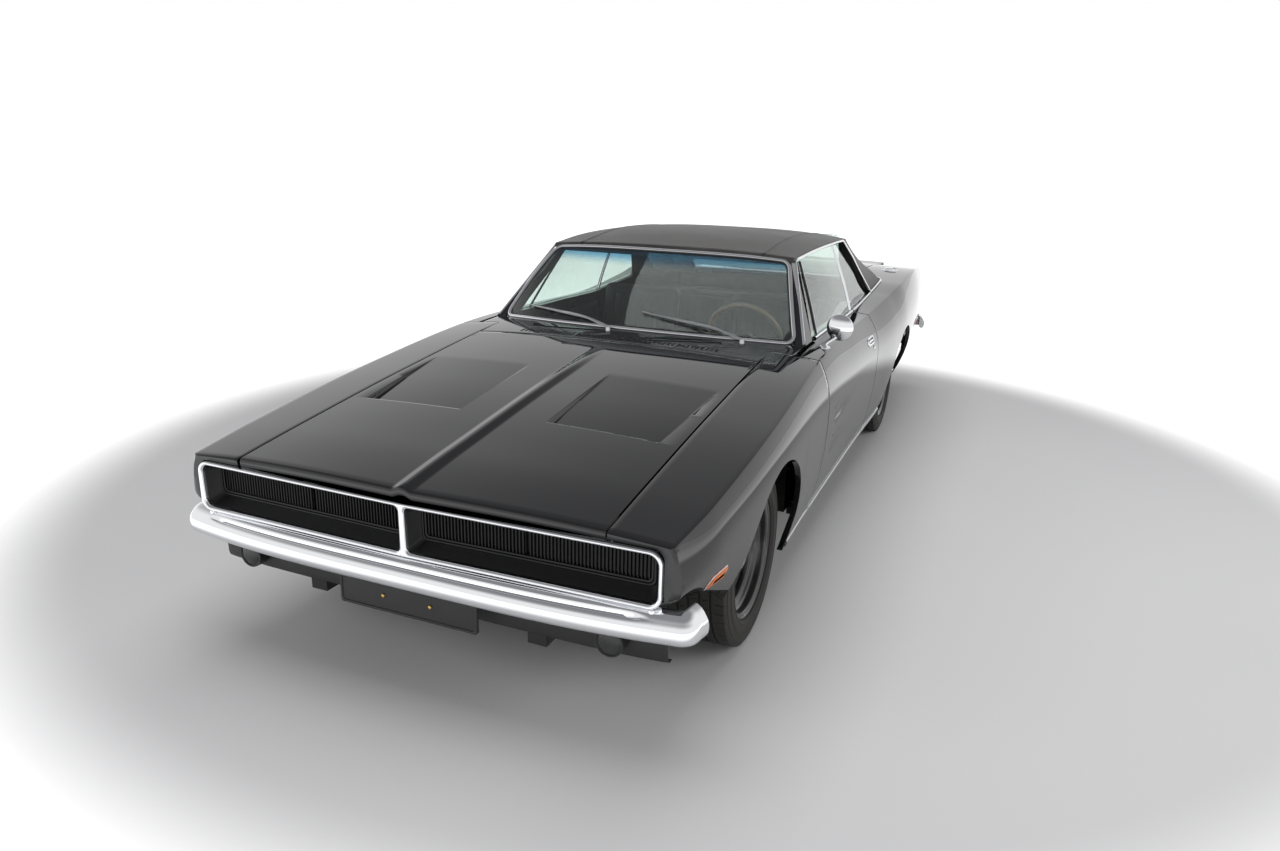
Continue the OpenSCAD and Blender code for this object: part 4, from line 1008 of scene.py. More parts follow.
shield_glass = glass_finish("windshield_glass", (0.84, 0.94, 0.9), band=(roof_h - 0.15, roof_h - 0.095))
side_pane = glass_finish("side_glass", (0.84, 0.94, 0.9))
glass_t = 0.005
pane_rows = [[windshield_point(u, w) for u in steps(-0.995, 0.995, 60)] for w in steps(0.005, 0.992, 26)]
fit(panel("windshield_pane", pane_rows, shield_glass), "clear_glass", "windshield", thickness=glass_t)
pane_rows = [[backlight_point(u, w) for u in steps(-0.99, 0.99, 40)] for w in steps(1.0, 0.0, 30)]
fit(panel("rear_window_pane", pane_rows, side_pane), "clear_glass", "rear_window", thickness=glass_t)


def side_glass_rows(front_low, front_high, rear_low, rear_high, top_gap):
    rows = []
    for w in steps(0.0, 1.0, 16):
        row = []
        for t in steps(0.0, 1.0, 24):
            y = mix(mix(front_low, front_high, w), mix(rear_low, rear_high, w ** 1.3), t)
            low_x, high_x = belt_x - 0.002, rail_x(y) - 0.016
            x = mix(low_x, high_x, w) + 0.008 * math.sin(math.pi * w)
            row.append((x, y, mix(top_z(y, low_x - glass_t) - 0.004, pillar_crest_z(y, 0.02) - top_gap, w)))
        rows.append(row)
    return rows


glass_front_y = door_front_y + 0.35
glass_rear_y = door_rear_y - gap / 2 - 0.006
quarter_front = door_rear_y + gap / 2 + 0.006
for side, name in sides:
    rows = side_glass_rows(glass_front_y, header_y + 0.09, glass_rear_y, glass_rear_y, gap)
    fit(
        panel(f"door_pane_{name}", rows, side_pane, side), "clear_glass", f"door_glass_{name}",
        thickness=glass_t, body=f"door_{name}")
    edge = [row[-1] for row in rows]
    fit(
        strip(
            f"door_pane_edge_{name}", [(x, y - 0.004, z) for x, y, z in edge], 0.014, 0.004, chrome, side,
            up=pane_out),
        "chrome", body=f"door_{name}")
    vent = []
    for w in steps(0.02, 0.97, 24):
        y = mix(glass_front_y + 0.092, header_y + 0.112, w)
        low_x = belt_x - 0.002
        vent.append((mix(low_x, rail_x(y) - 0.016, w) + 0.008 * math.sin(math.pi * w) + 0.001, y,
                     mix(top_z(y, low_x - glass_t) - 0.004, pillar_crest_z(y, 0.02) - gap, w)))
    fit(
        strip(f"vent_bar_{name}", vent, 0.02, 0.005, rubber, side, up=pane_out), "chrome",
        body=f"door_{name}")
    fit(
        strip(
            f"vent_bead_{name}", [(x + 0.005, y, z) for x, y, z in vent], 0.006, 0.003, chrome, side,
            up=pane_out),
        "chrome", body=f"door_{name}")
    rows = side_glass_rows(
        quarter_front, quarter_front, pillar_front_y(0.0) - 0.01, pillar_front_y(1.0) - 0.01, seat_gap)
    fit(panel(f"quarter_pane_{name}", rows, side_pane, side), "clear_glass",
        *once(side, "quarter_windows"), thickness=glass_t)
    edge = [row[0] for row in rows]
    fit(
        strip(
            f"quarter_pane_edge_{name}", [(x, y + 0.004, z) for x, y, z in edge], 0.014, 0.004, chrome,
            side, up=pane_out),
        "chrome")
    sill = [
        (belt_x + 0.01, y, top_z(y, belt_x + 0.01) + 0.004)
        for y in steps(glass_front_y + 0.01, glass_rear_y, 40)]
    fit(strip(f"door_sill_trim_{name}", sill, 0.014, 0.006, chrome, side), "chrome", body=f"door_{name}")
    sill = [
        (belt_x + 0.01, y, top_z(y, belt_x + 0.01) + 0.004)
        for y in steps(quarter_front, pillar_front_y(0.0) - 0.02, 30)]
    fit(strip(f"quarter_sill_trim_{name}", sill, 0.014, 0.006, chrome, side), "chrome")


# Front bumper: a pressed steel blade, chromed, with a long sunk channel along its upper
# face. It bows forward in the middle and wraps round the corners to the fenders.
front_y, rear_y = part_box("front_bumper")[0][1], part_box("rear_bumper")[1][1]
bumper_z = 0.492


def bumper_plan(out, reach, corner, wrap):
    """Half the bumper's outline from above: (x, set back from the front)."""
    main = [(x, reach * (x / out) ** 3.2) for x in steps(0.0, out - corner, 34)]
    start = main[-1]
    slope = 3.2 * reach * ((out - corner) / out) ** 2.2 / out
    bend = (out - 0.01, start[1] + slope * (corner - 0.01))
    end = (out - 0.006, bend[1] + corner)
    turn = []
    for t in steps(0.0, 1.0, 12)[1:]:
        a = [mix(start[k], bend[k], t) for k in (0, 1)]
        b = [mix(bend[k], end[k], t) for k in (0, 1)]
        turn.append((mix(a[0], b[0], t), mix(a[1], b[1], t)))
    return main + turn + [(mix(end[0], out, t), mix(end[1], wrap, t)) for t in steps(0.0, 1.0, 5)[1:]]


def bumper_profile(groove):
    """(forward, up) points round the blade; groove is how deep its channel is, 0 to 1."""
    face = mm(
        (-34, -40), (-26, -46), (-15, -47.5), (-7, -42), (-2, -32), (0, -18), (-1, -4), (-4.5, 8), (-9, 16))
    channel = mm((-11.5, 19.5), (-13.5, 22.5), (-15.5, 25.5), (-18, 29), (-20.5, 32), (-23, 34.5))
    sunk = mm((-12.5, 19), (-18.5, 15), (-22.5, 16.5), (-23.5, 22.5), (-23.5, 30), (-24.5, 34.5))
    top = mm(
        (-26, 37.5), (-30, 40.5), (-34, 42.5), (-40, 46.5), (-48, 47.5), (-50, 44.5), (-40, 40.5),
        (-36, 36), (-36, -36))
    middle = [(mix(a[0], b[0], groove), mix(a[1], b[1], groove)) for a, b in zip(channel, sunk)]
    return face + middle + top


def blade(name, plan, place, height, facing, finish, groove_end):
    """A bumper blade along half an outline and its mirror image."""
    line = [(-x, y) for x, y in plan[:0:-1]] + plan
    sections = []
    for i, (x, y) in enumerate(line):
        ahead_x, ahead_y = line[min(i + 1, len(line) - 1)]
        back_x, back_y = line[max(i - 1, 0)]
        run = Vector((ahead_x - back_x, ahead_y - back_y)).normalized()
        groove = ease(groove_end, groove_end - 0.03, abs(x))
        sections.append([(x + run.y * a, facing * (y - run.x * a) + place, height + b)
                         for a, b in bumper_profile(groove)])
    return panel(name, sections[::-facing], finish, wrap=True, ends="capped")


front_plan = bumper_plan(half_w - 0.012, 0.062, 0.06, 0.15)
fit(
    blade("front_bumper_blade", front_plan, front_y, bumper_z, 1, chrome, 0.8), "chrome", "front_bumper",
    crease=55)
rear_plan = bumper_plan(half_w - 0.018, 0.024, 0.055, 0.15)
fit(
    blade("rear_bumper_blade", rear_plan, rear_y, 0.535, -1, chrome, 0.78), "chrome", "rear_bumper",
    crease=55)


# Grille. A bright frame round two openings, which meet at a divider in a shallow V. In
# each opening a black tray runs back to a field of upright fins inside a thin bead, and
# a slit marks the door over the hidden headlamps.
grille_low, grille_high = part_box("grille_surround")
grille_half_w = grille_high[0]
grille_rake = math.tan(math.radians(1.2))
frame_w = 0.014
divider_w = 0.011


def raked(outline, y):
    """An outline in the grille's plane, set back along its V."""
    return [(x, y + abs(x) * grille_rake, z) for x, z in outline]


def opening(inset, low_extra=0.0, side_extra=0.0):
    low = (divider_w + inset + side_extra, grille_low[2] + frame_w + inset + low_extra)
    high = (grille_half_w - frame_w - inset - side_extra, grille_high[2] - frame_w - inset)
    outer_r, inner_r = max(0.012, 0.03 - inset), max(0.008, 0.018 - inset * 0.5)
    return round_box(low, high, (outer_r, inner_r, inner_r, outer_r))


def frame_outline(grow):
    low, high = (0.0, grille_low[2] - grow), (grille_half_w + grow, grille_high[2] + grow)
    return round_box(low, high, (0.04 + grow, 0.0001, 0.0001, 0.04 + grow))


grille_black = Finish(
    "grille_black", uneven=(30.0, 0.3, 0.15), base_color=(0.006, 0.006, 0.0065), roughness=0.38,
    specular_ior_level=0.3)
grille_black.bump(grille_black.noise(500.0), distance=0.0001)
frame_front_y = nose_y - 0.04
# (grow or inset, set back) round the frame, and (inset, at the foot, at the sides, set back) of the tray
frame_outer_line = mm((0, 50), (0, 6), (-1.5, 1.5), (-4, 0))
frame_inner_line = mm((-7, 0.5), (-3, 3), (0, 9), (3, 24), (4, 46))
tray_line = mm(
    (0.5, 0, 0, 16), (3, 0, 0, 20), (6, 16, 12, 56), (8, 20, 16, 62), (8, 21, 17, 58.5),
    (9.5, 22.5, 18.5, 57.5), (11, 24, 20, 58.5), (11.5, 24.5, 20.5, 64), (12.5, 25.5, 21.5, 60),
    (14, 27, 23, 59.2), (15.5, 28.5, 24.5, 60.5), (16, 29, 25, 72))
for side, name in sides:
    outside = [raked(frame_outline(grow), frame_front_y + back) for grow, back in frame_outer_line]
    inside = [raked(opening(inset), frame_front_y + back) for inset, back in frame_inner_line]
    fit(ring(f"grille_frame_{name}", outside + inside, chrome, side=side), "chrome",
        *once(side, "grille_surround"), crease=45)
    tray = [raked(opening(*inset), frame_front_y + back) for *inset, back in tray_line]
    fit(ring(f"grille_tray_{name}", tray, grille_black, closed=False, side=side), "grille_black", crease=45)
    field = opening(0.016, 0.029, 0.025)
    field_left, field_right = min(p[0] for p in field), max(p[0] for p in field)
    field_low, field_high = min(p[1] for p in field), max(p[1] for p in field)
    pitch = 0.0118
    slit_x = mix(field_left, field_right, 0.47)
    corner = 0.014
    count = int((field_right - field_left) / pitch)
    # (share of the pitch, rise) over one fin
    fin_line = (
        (0.0, 0.0), (0.22, 0.0), (0.3, 0.0055), (0.4, 0.0072), (0.6, 0.0072), (0.7, 0.0055), (0.78, 0.0),
        (0.999, 0.0))
    places = []
    for i in range(count):
        start = field_left + i * pitch
        deep = 0.01 if abs(start + pitch / 2 - slit_x) < pitch / 2 else 0.0
        for share, rise in fin_line:
            places.append((start + share * pitch, -0.01 if deep else rise))
    fin_rows = []
    for h in (0.0, 0.012, 0.03, 0.5, 0.97, 0.988, 1.0):
        row = []
        for x, rise in places:
            near = min(x - field_left, field_right - x)
            cut = corner - math.sqrt(max(0.0, corner ** 2 - max(0.0, corner - near) ** 2))
            z = mix(field_low + cut, field_high - cut, h)
            lean = 0.0 if 0.0 < h < 1.0 else 0.004
            row.append((x, frame_front_y + 0.07 - rise + lean + x * grille_rake, z))
        fin_rows.append(row)
    fit(panel(f"grille_fins_{name}", fin_rows, grille_black, side), "grille_black",
        *once(side, "grille"), crease=28)
grille_backing = round_box(
    (-grille_half_w + 0.02, grille_low[2] + 0.004), (grille_half_w - 0.02, grille_high[2] - 0.004),
    [0.03] * 4)
backing = ring(
    "grille_backing",
    [raked(grille_backing, frame_front_y + 0.08), raked(grille_backing, frame_front_y + 0.086)],
    grille_black)
fit(backing, "grille_black")
grille_back = [
    [
        (x, frame_front_y + 0.083 + abs(x) * grille_rake, z)
        for x in steps(-grille_half_w + 0.03, grille_half_w - 0.03, 20)]
    for z in (grille_low[2] + 0.01, grille_high[2] - 0.01)]
fit(panel("grille_back_plate", grille_back, grille_black), "grille_black", thickness=0.002)


# Front valance: the black apron below the bumper, with a round clear lamp on each side
# and the blank plate holder on its two brass bolts.
valance_half = half_w - 0.128
satin_black = Finish("satin_black", base_color=(0.012, 0.012, 0.013), roughness=0.45)
satin_black.wear({"Roughness": satin_black.noise(14.0, detail=3.0) * 0.2 + 0.36})
valance_line = mm(
    (548, 12), (532, 14), (515, 22), (500, 36), (485, 40), (440, 40), (400, 40), (352, 41), (336, 46),
    (330, 58), (330, 75))
valance_rows = []
for z, back in valance_line:
    valance_rows.append([
        (x, nose_y + back + 0.02 * (abs(x) / valance_half) ** 6, z)
        for x in steps(-valance_half, valance_half, 60)])
fit(
    panel("valance_skin", valance_rows[::-1], satin_black), "body_paint", "front_valance", thickness=0.003,
    bevel=0.0008)

clear_lens = Finish(
    "clear_lens", base_color=(0.3, 0.31, 0.31), roughness=0.08, ior=1.45, transmission_weight=0.95)
flutes = (clear_lens.along("X").cycle(0.008) - 0.5).size() + (clear_lens.along("Z").cycle(0.008) - 0.5).size()
clear_lens.wear({"Roughness": flutes * 0.05 + 0.05})
clear_lens.bump(flutes, distance=0.0003)


def bar(name, outline, places, finish, side=1):
    """A straight piece with one (y, z) outline, between places across the car."""
    return shell(name, [[(x, y, z) for y, z in outline] for x in places], finish, side)


def inset_box(low, high, inset, radius, points=8):
    """A rounded rectangle drawn in by inset on every side, with its corners to match."""
    return round_box(
        [v + inset for v in low], [v - inset for v in high], [max(0.001, radius - inset)] * 4, points)


def turned(name, profile, centre, finish, axis="y", side=1, points=48):
    """A piece turned on a lathe: (radius, along) pairs about an axis through centre."""
    rows = []
    for r, a in profile:
        row = []
        for k in range(points):
            c, s = r * math.cos(2 * math.pi * k / points), r * math.sin(2 * math.pi * k / points)
            p = {"x": (a, c, s), "y": (c, a, s), "z": (c, s, a)}[axis]
            row.append((centre[0] + p[0], centre[1] + p[1], centre[2] + p[2]))
        rows.append(row)
    obj = panel(name, rows, finish, side, wrap=True, ends="capped")
    obj.data.update()
    work = bmesh.new()
    work.from_mesh(obj.data)
    bmesh.ops.recalc_face_normals(work, faces=work.faces)
    work.to_mesh(obj.data)
    work.free()
    return obj


lamp_x = half_w - 0.291
amber_lens = Finish(
    "amber_lens", base_color=(0.85, 0.2, 0.004), roughness=0.15, specular_ior_level=0.2, coat_weight=0.4,
    coat_roughness=0.05)
amber_rib = (amber_lens.along("Y").cycle(0.006) - 0.5).size()
amber_lens.wear({"Base Color": amber_lens.blend(amber_rib, (0.72, 0.15, 0.004), (0.98, 0.27, 0.006))})
amber_lens.bump(amber_rib, distance=0.001)
for side, name in sides:
    centre = (lamp_x, nose_y + 0.012, 0.392)
    fit(turned(f"lower_lamp_bezel_{name}", mm((39, -4), (41, -7), (45, -7), (46, -2), (46, 27), (39, 27)),
               centre, satin_black, side=side), "plate_black")
    fit(
        turned(
            f"lower_lamp_lens_{name}",
            mm((1, -10.5), (12, -10), (24, -8.5), (34, -6), (39, -3), (39, 4), (1, 4)), centre, clear_lens,
            side=side),
        "amber_lens", *once(side, "marker_lamps"))
    fit(turned(f"lower_lamp_bowl_{name}", mm((1, 22), (20, 18), (34, 10), (38.5, 5), (38.7, 24), (1, 26)),
               centre, satin_black, side=side), "plate_black")
    for where, low_y, z, finish, slot in (("front", front_axle_y - 0.635, 0.522, amber_lens, "amber_lens"),
                                          ("rear", rear_axle_y + 0.8, 0.6, red_lens, "red_lens")):
        for part, grow, stand_out, skin in (("lens", 0.0, 0.0075, finish), ("bezel", 0.005, 0.003, chrome)):
            outlines = []
            for inset, out in (
                (0.0, -0.004), (0.0, 0.35), (0.0012, 0.75), (0.004, 0.96), (0.009, 1.0), (0.0135, 1.0)):
                outline = inset_box(
                    (low_y - grow, z - 0.021 - grow), (low_y + 0.1 + grow, z + 0.021 + grow), inset,
                    0.005 + grow, points=4)
                outlines.append([
                    (side_x(y, h) + (out if out < 0 else out * stand_out), y, h) for y, h in outline])
            fit(
                ring(f"side_marker_{part}_{where}_{name}", outlines[::-1], skin, side=side),
                slot if part == "lens" else "chrome")

plate_low, plate_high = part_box("license_plate")
plate_mid_z = (plate_low[2] + plate_high[2]) / 2
plate_face_y = plate_low[1]
outlines = []
for inset, back in mm((0, 10), (0, 2), (2, 0.3), (5, 0), (7.5, 0.8), (9, 3)):
    low, high = (plate_low[0] + inset, plate_low[2] + inset), (plate_high[0] - inset, plate_high[2] - inset)
    outlines.append([(x, plate_face_y + back, z) for x, z in round_box(low, high, [0.01] * 4)])
plate_rim = ring("plate_holder", outlines, satin_black)
fit(plate_rim, "plate_black", "license_plate", crease=50)
back_plate = [
    [
        (x, plate_face_y + 0.004 - 0.0008 * (abs(abs(x) - 0.12) < 0.004), z)
        for x in steps(plate_low[0] + 0.003, plate_high[0] - 0.003, 60)]
    for z in steps(plate_low[2] + 0.003, plate_high[2] - 0.003, 6)]
fit(panel("plate_holder_back", back_plate, satin_black), "plate_black", thickness=0.004)
brass = Finish(
    "bolt_brass", uneven=(400.0, 0.25, 0.3), base_color=(0.62, 0.42, 0.14), metallic=1.0, roughness=0.35)
for side, name in sides:
    fit(turned(f"plate_bolt_{name}", mm((0.5, -4.5), (3, -4.3), (5.5, -3), (6.5, 0), (6.5, 4), (1, 4)),
               (0.089, plate_face_y + 0.002, plate_mid_z), brass, side=side, points=24), "plate_black")
    x = 0.15 if side > 0 else 0.2
    arm = [
        (plate_face_y + 0.012, plate_mid_z + 0.01), (nose_y + 0.036, plate_mid_z + 0.004),
        (nose_y + 0.036, plate_mid_z - 0.006), (plate_face_y + 0.012, plate_mid_z - 0.002)]
    fit(bar(f"plate_bracket_{name}", arm, (x, x + 0.03), satin_black, side), "plate_black")


# Tyres. Moulded rubber with four grooves round the tread, sipes across its ribs and a
# rounded side wall, seated on the rims.
tyre_rubber = Finish("tyre_rubber", base_color=(0.03, 0.029, 0.027), roughness=0.68, specular_ior_level=0.35)
dust = tyre_rubber.noise(9.0, detail=4.0)
tyre_rubber.wear({
    "Base Color": tyre_rubber.blend(dust, (0.02, 0.0195, 0.019), (0.036, 0.034, 0.031)),
    "Roughness": dust * 0.2 + 0.58,
})
tyre_rubber.bump(tyre_rubber.noise(500.0), distance=0.0002)
tyre_low, tyre_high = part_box("front_tyre_left")
wheel_x = (tyre_low[0] + tyre_high[0]) / 2
tyre_half = (tyre_high[0] - tyre_low[0]) / 2
tyre_r = (tyre_high[2] - tyre_low[2]) / 2
seat_r = 0.217
blocks = 54


def tyre_rows():
    """Half the tyre's outline from the bead to the tread's middle: (radius, across, sipe)."""
    wall = [
        (seat_r + 0.0005, -0.024), (seat_r + 0.01, -0.019), (seat_r + 0.015, -0.017),
        (seat_r + 0.018, -0.008), (0.243, -0.004), (0.2455, -0.0008), (0.2485, -0.0006), (0.2505, -0.0022),
        (0.258, -0.0012), (0.268, -0.0005), (0.279, -0.001), (0.2825, -0.0015), (0.2832, -0.0004),
        (0.2852, -0.0005), (0.286, -0.002), (0.292, -0.0036), (0.3, -0.004), (0.307, -0.0052),
        (0.3085, -0.0048), (0.3105, -0.0056), (0.3118, -0.0078), (0.32, -0.009)]
    rows = [(r, tyre_half + a, 0.0) for r, a in wall]
    crown = [0.1085, 0.1055, 0.1, 0.09, 0.076, 0.066]
    rows += [
        (tyre_r - 0.0035 * (a / 0.105) ** 4 - (0.005 if a > 0.107 else 0.0), a, 0.0042 if a > 0.07 else 0.0)
        for a in crown]
    for middle, next_one in ((0.06, 0.02), (0.02, None)):
        rows += [(tyre_r - 0.0004, middle + 0.0046, 0.0), (tyre_r - 0.0075, middle + 0.0028, 0.0),
                 (tyre_r - 0.0075, middle - 0.0028, 0.0), (tyre_r - 0.0004, middle - 0.0046, 0.0)]
        if next_one:
            rows += [
                (tyre_r, 0.053, 0.0), (tyre_r, 0.0505, 0.004), (tyre_r, 0.034, 0.004), (tyre_r, 0.0315, 0.0)
            ]
    return rows + [(tyre_r, 0.01, 0.0), (tyre_r, 0.0085, 0.0028), (tyre_r, 0.0, 0.0028)]


half_rows = tyre_rows()
all_rows = half_rows + [(r, -a, cut) for r, a, cut in half_rows[-2::-1]]
inner_wall = mm(
    (232, -88), (262, -106), (300, -100), (322, -70), (324.5, 0), (322, 70), (300, 100), (262, 106),
    (232, 88))
all_rows += [(r, a, 0.0) for r, a in inner_wall]
for end, axle in (("front", front_axle_y), ("rear", rear_axle_y)):
    for side, name in sides:
        rows = []
        for r, a, cut in all_rows[::-1]:
            row = []
            for k in range(blocks):
                lean = 0.25 if abs(a) > 0.065 else -0.2
                for share in (0.0, 0.045, 0.5, 0.955):
                    deep = cut if share == 0.0 else 0.0
                    turn = 2 * math.pi * (k + share + lean * (a / 0.1 if cut else 0.0)) / blocks
                    row.append((
                        wheel_x + a, axle + (r - deep) * math.cos(turn),
                        axle_z + (r - deep) * math.sin(turn)))
            rows.append(row)
        fit(
            ring(f"{end}_tyre_{name}_rubber", rows, tyre_rubber, side=side), "tyre_rubber",
            f"{end}_tyre_{name}", crease=28, body=f"{end}_wheel_{name}")


# Wheels. Pressed steel, painted black: a deep stepped rim, a dished disc with slots
# pressed round it, and a domed chrome cap clipped over the hub.
wheel_black = Finish(
    "wheel_black", base_color=(0.012, 0.012, 0.013), roughness=0.3, coat_weight=0.7, coat_roughness=0.08)
grime = wheel_black.noise(24.0, detail=4.0)
wheel_black.wear({
    "Roughness": grime * 0.2 + 0.22,
    "Base Color": wheel_black.blend(grime, (0.01, 0.01, 0.011), (0.02, 0.019, 0.018))})
rim_line = mm(
    (231, 103), (231.8, 104.5), (230.8, 105.8), (228.8, 105.6), (226.2, 104), (223.2, 101), (222.2, 100.2),
    (219, 99.8), (215, 98.5), (212.2, 95.5), (211.2, 90.5), (210.6, 76), (210, 72.5), (207.2, 70),
    (205, 69.2), (203, 66), (196, 56), (193, 53.5), (188, 51.5), (185, 48), (184.6, 40), (184.6, -24),
    (190, -34), (206, -60), (209, -68), (210, -94), (216, -100), (224, -104), (230, -104.5), (231, -103.5),
    (224, -101), (217, -97), (215, -64), (191, -24), (191, 54), (215, 70), (217, 97), (225, 99.5))
disc_line = mm(
    (22.5, 14), (22.5, 21.5), (24, 22.2), (85, 22.2), (90, 23), (96, 26.2), (104, 33), (112, 37.2),
    (120, 39.2), (138, 40.2), (144, 40), (149, 39), (152, 38), (154.5, 36.5), (157, 35), (169, 25.5),
    (171.5, 22.5), (174, 19), (179, 12), (183.5, 9), (184.5, 4), (184.5, -6), (182, -6), (174, 5),
    (148, 32), (120, 33), (96, 17), (85, 14))
cap_line = mm(
    (106.5, 17), (110, 18.5), (111.8, 21.5), (111.2, 25), (109, 26.8), (106, 26.2), (104, 25.8),
    (100, 28.2), (96, 33), (88, 41), (78, 47.5), (66, 53), (50, 58), (33, 61.2), (16, 62.8), (0.5, 63.2))


def lathe(name, profile, centre, side, finish, points=96, closed=True, dent=None):
    """Turned about the wheel's axis from (radius, outward) pairs; dent moves a point inward."""
    rows = []
    for r, a in profile[::-1]:
        row = []
        for turn in steps(0.0, 2 * math.pi, points)[:-1]:
            out = a - (dent(r, turn) if dent else 0.0)
            row.append((centre[0] + out, centre[1] + r * math.cos(turn), centre[2] + r * math.sin(turn)))
        rows.append(row)
    return panel(name, rows, finish, side, wrap=True, ends="joined" if closed else "capped")


def slots(r, turn):
    """Ten oval slots pressed into the slope of the disc."""
    along = abs((turn * 10 / (2 * math.pi)) % 1.0 - 0.5) * 2
    across = abs(r - 0.163) / 0.0075
    return 0.014 * ease(1.0, 0.75, max(along / 0.62, across)) if 0.15 < r < 0.175 else 0.0


for end, axle in (("front", front_axle_y), ("rear", rear_axle_y)):
    for side, name in sides:
        hub = (wheel_x, axle, axle_z)
        body = f"{end}_wheel_{name}"
        fit(
            lathe(f"{end}_rim_{name}", rim_line, hub, side, wheel_black), "wheel_black",
            f"{end}_wheel_{name}", crease=40, body=body)
        slotted = disc_line[:14] + [
            (r, mix(0.035, 0.0255, (r - 0.157) / 0.012)) for r in (0.158, 0.16, 0.163, 0.166, 0.168)
        ] + disc_line[15:]
        fit(
            lathe(f"{end}_disc_{name}", slotted, hub, side, wheel_black, points=200, dent=slots),
            "wheel_black", crease=35, body=body)
        cap = lathe(
            f"{end}_cap_{name}",
            [(0.0005, 0.056), (0.1045, 0.02)] + [(r, a + 0.55 * max(0.0, a - 0.0282)) for r, a in cap_line],
            hub, side, chrome, closed=False)
        fit(cap, "chrome", crease=40, body=body)
        stem = turned(
            f"{end}_valve_{name}",
            mm(
                (0.5, 40), (4.2, 41), (4.2, 62), (3.4, 64), (3.4, 80), (4.4, 81), (4.4, 90), (3.6, 93),
                (0.5, 94)),
            (wheel_x, axle, axle_z + 0.197), rubber, axis="x", side=side, points=12)
        fit(stem, "wheel_black", body=body)


# Door mirror. A round chromed shell with a flat glass, on a curved stem that stands on
# a small foot on top of the left door.
def tube(name, path, radii, finish, side=1, up=(0.0, 0.0, 1.0), points=20):
    """A round or oval bar along a path; each radius is one number or (across, out)."""
    sections = []
    line = [Vector(p) for p in path]
    for i, p in enumerate(line):
        run = (line[min(i + 1, len(line) - 1)] - line[max(i - 1, 0)]).normalized()
        across = run.cross(Vector(up)).normalized()
        out = across.cross(run)
        r = radii[i] if isinstance(radii, list) else radii
        wide, tall = r if isinstance(r, tuple) else (r, r)
        sections.append([
            tuple(
                p + across * wide * math.cos(2 * math.pi * k / points) + out * tall
                * math.sin(2 * math.pi * k / points))
            for k in range(points)])
    return panel(name, sections, finish, side, wrap=True, ends="capped")


mirror_y = door_front_y + 0.235
foot_x = shoulder_x(mirror_y) - 0.025
foot_z = top_z(mirror_y, foot_x)
mirror_head = (foot_x + 0.054, mirror_y + 0.012, 1.015)
head_line = mm(
    (0.5, -6), (10, -5.6), (22, -3.5), (34, 0.2), (45, 5.6), (53, 12), (57.5, 18.5), (59, 23.5),
    (58.8, 26.2), (57.5, 27.8), (55.8, 27.2), (55, 24), (54.5, 22.8), (0.5, 22.8))
fit(
    turned("mirror_shell", head_line, mirror_head, chrome, points=72), "chrome", "door_mirror", crease=40,
    body="door_left")
mirror_glass = Finish(
    "mirror_glass", uneven=(8.0, 0.01, 0.02), base_color=(0.8, 0.82, 0.82), metallic=1.0, roughness=0.02)
fit(
    turned(
        "mirror_glass", mm((0.5, 22.5), (54, 22.5), (54.4, 24), (53, 24.7), (0.5, 24.7)), mirror_head,
        mirror_glass, points=72),
    "chrome", body="door_left")
stem_path = []
stem_radii = []
for t in steps(0.0, 1.0, 22):
    lift = ease(0.0, 1.0, t)
    stem_path.append((
        mix(foot_x, mirror_head[0] - 0.004, ease(0.1, 1.0, t)), mix(mirror_y, mirror_head[1] + 0.014, lift),
        mix(foot_z - 0.002, mirror_head[2] - 0.03, t)))
    flare = (1 - min(1.0, t / 0.35)) ** 2
    stem_radii.append((0.0085 + 0.013 * flare, 0.0065 + 0.022 * flare))
fit(tube("mirror_stem", stem_path, stem_radii, chrome, up=(1.0, 0.0, 0.0)), "chrome", body="door_left")
foot_plate = [
    (foot_x + 0.024 * math.cos(a), mirror_y + 0.034 * math.sin(a)) for a in steps(0, 2 * math.pi, 40)[:-1]]
outlines = []
for grow, rise in ((1.0, -0.002), (1.0, 0.002), (0.94, 0.004), (0.8, 0.005)):
    outlines.append([
        (foot_x + (x - foot_x) * grow, mirror_y + (y - mirror_y) * grow, top_z(y, x) + rise)
        for x, y in foot_plate][::-1])
outlines.append([(foot_x, mirror_y, foot_z + 0.0055)] * len(foot_plate))
fit(ring("mirror_foot", outlines, chrome, closed=False), "chrome", crease=50, body="door_left")


# Door handles. A chromed bezel in each door skin round a hand well, with a pull flap
# across it and a key lock below. The well is a flat matte black sheet: painted shade.
def door_x(y, z):
    return side_x(y, z) - scallop(y, z)


def on_door(outline, out):
    return [(door_x(y, z) + out, y, z) for y, z in outline][::-1]


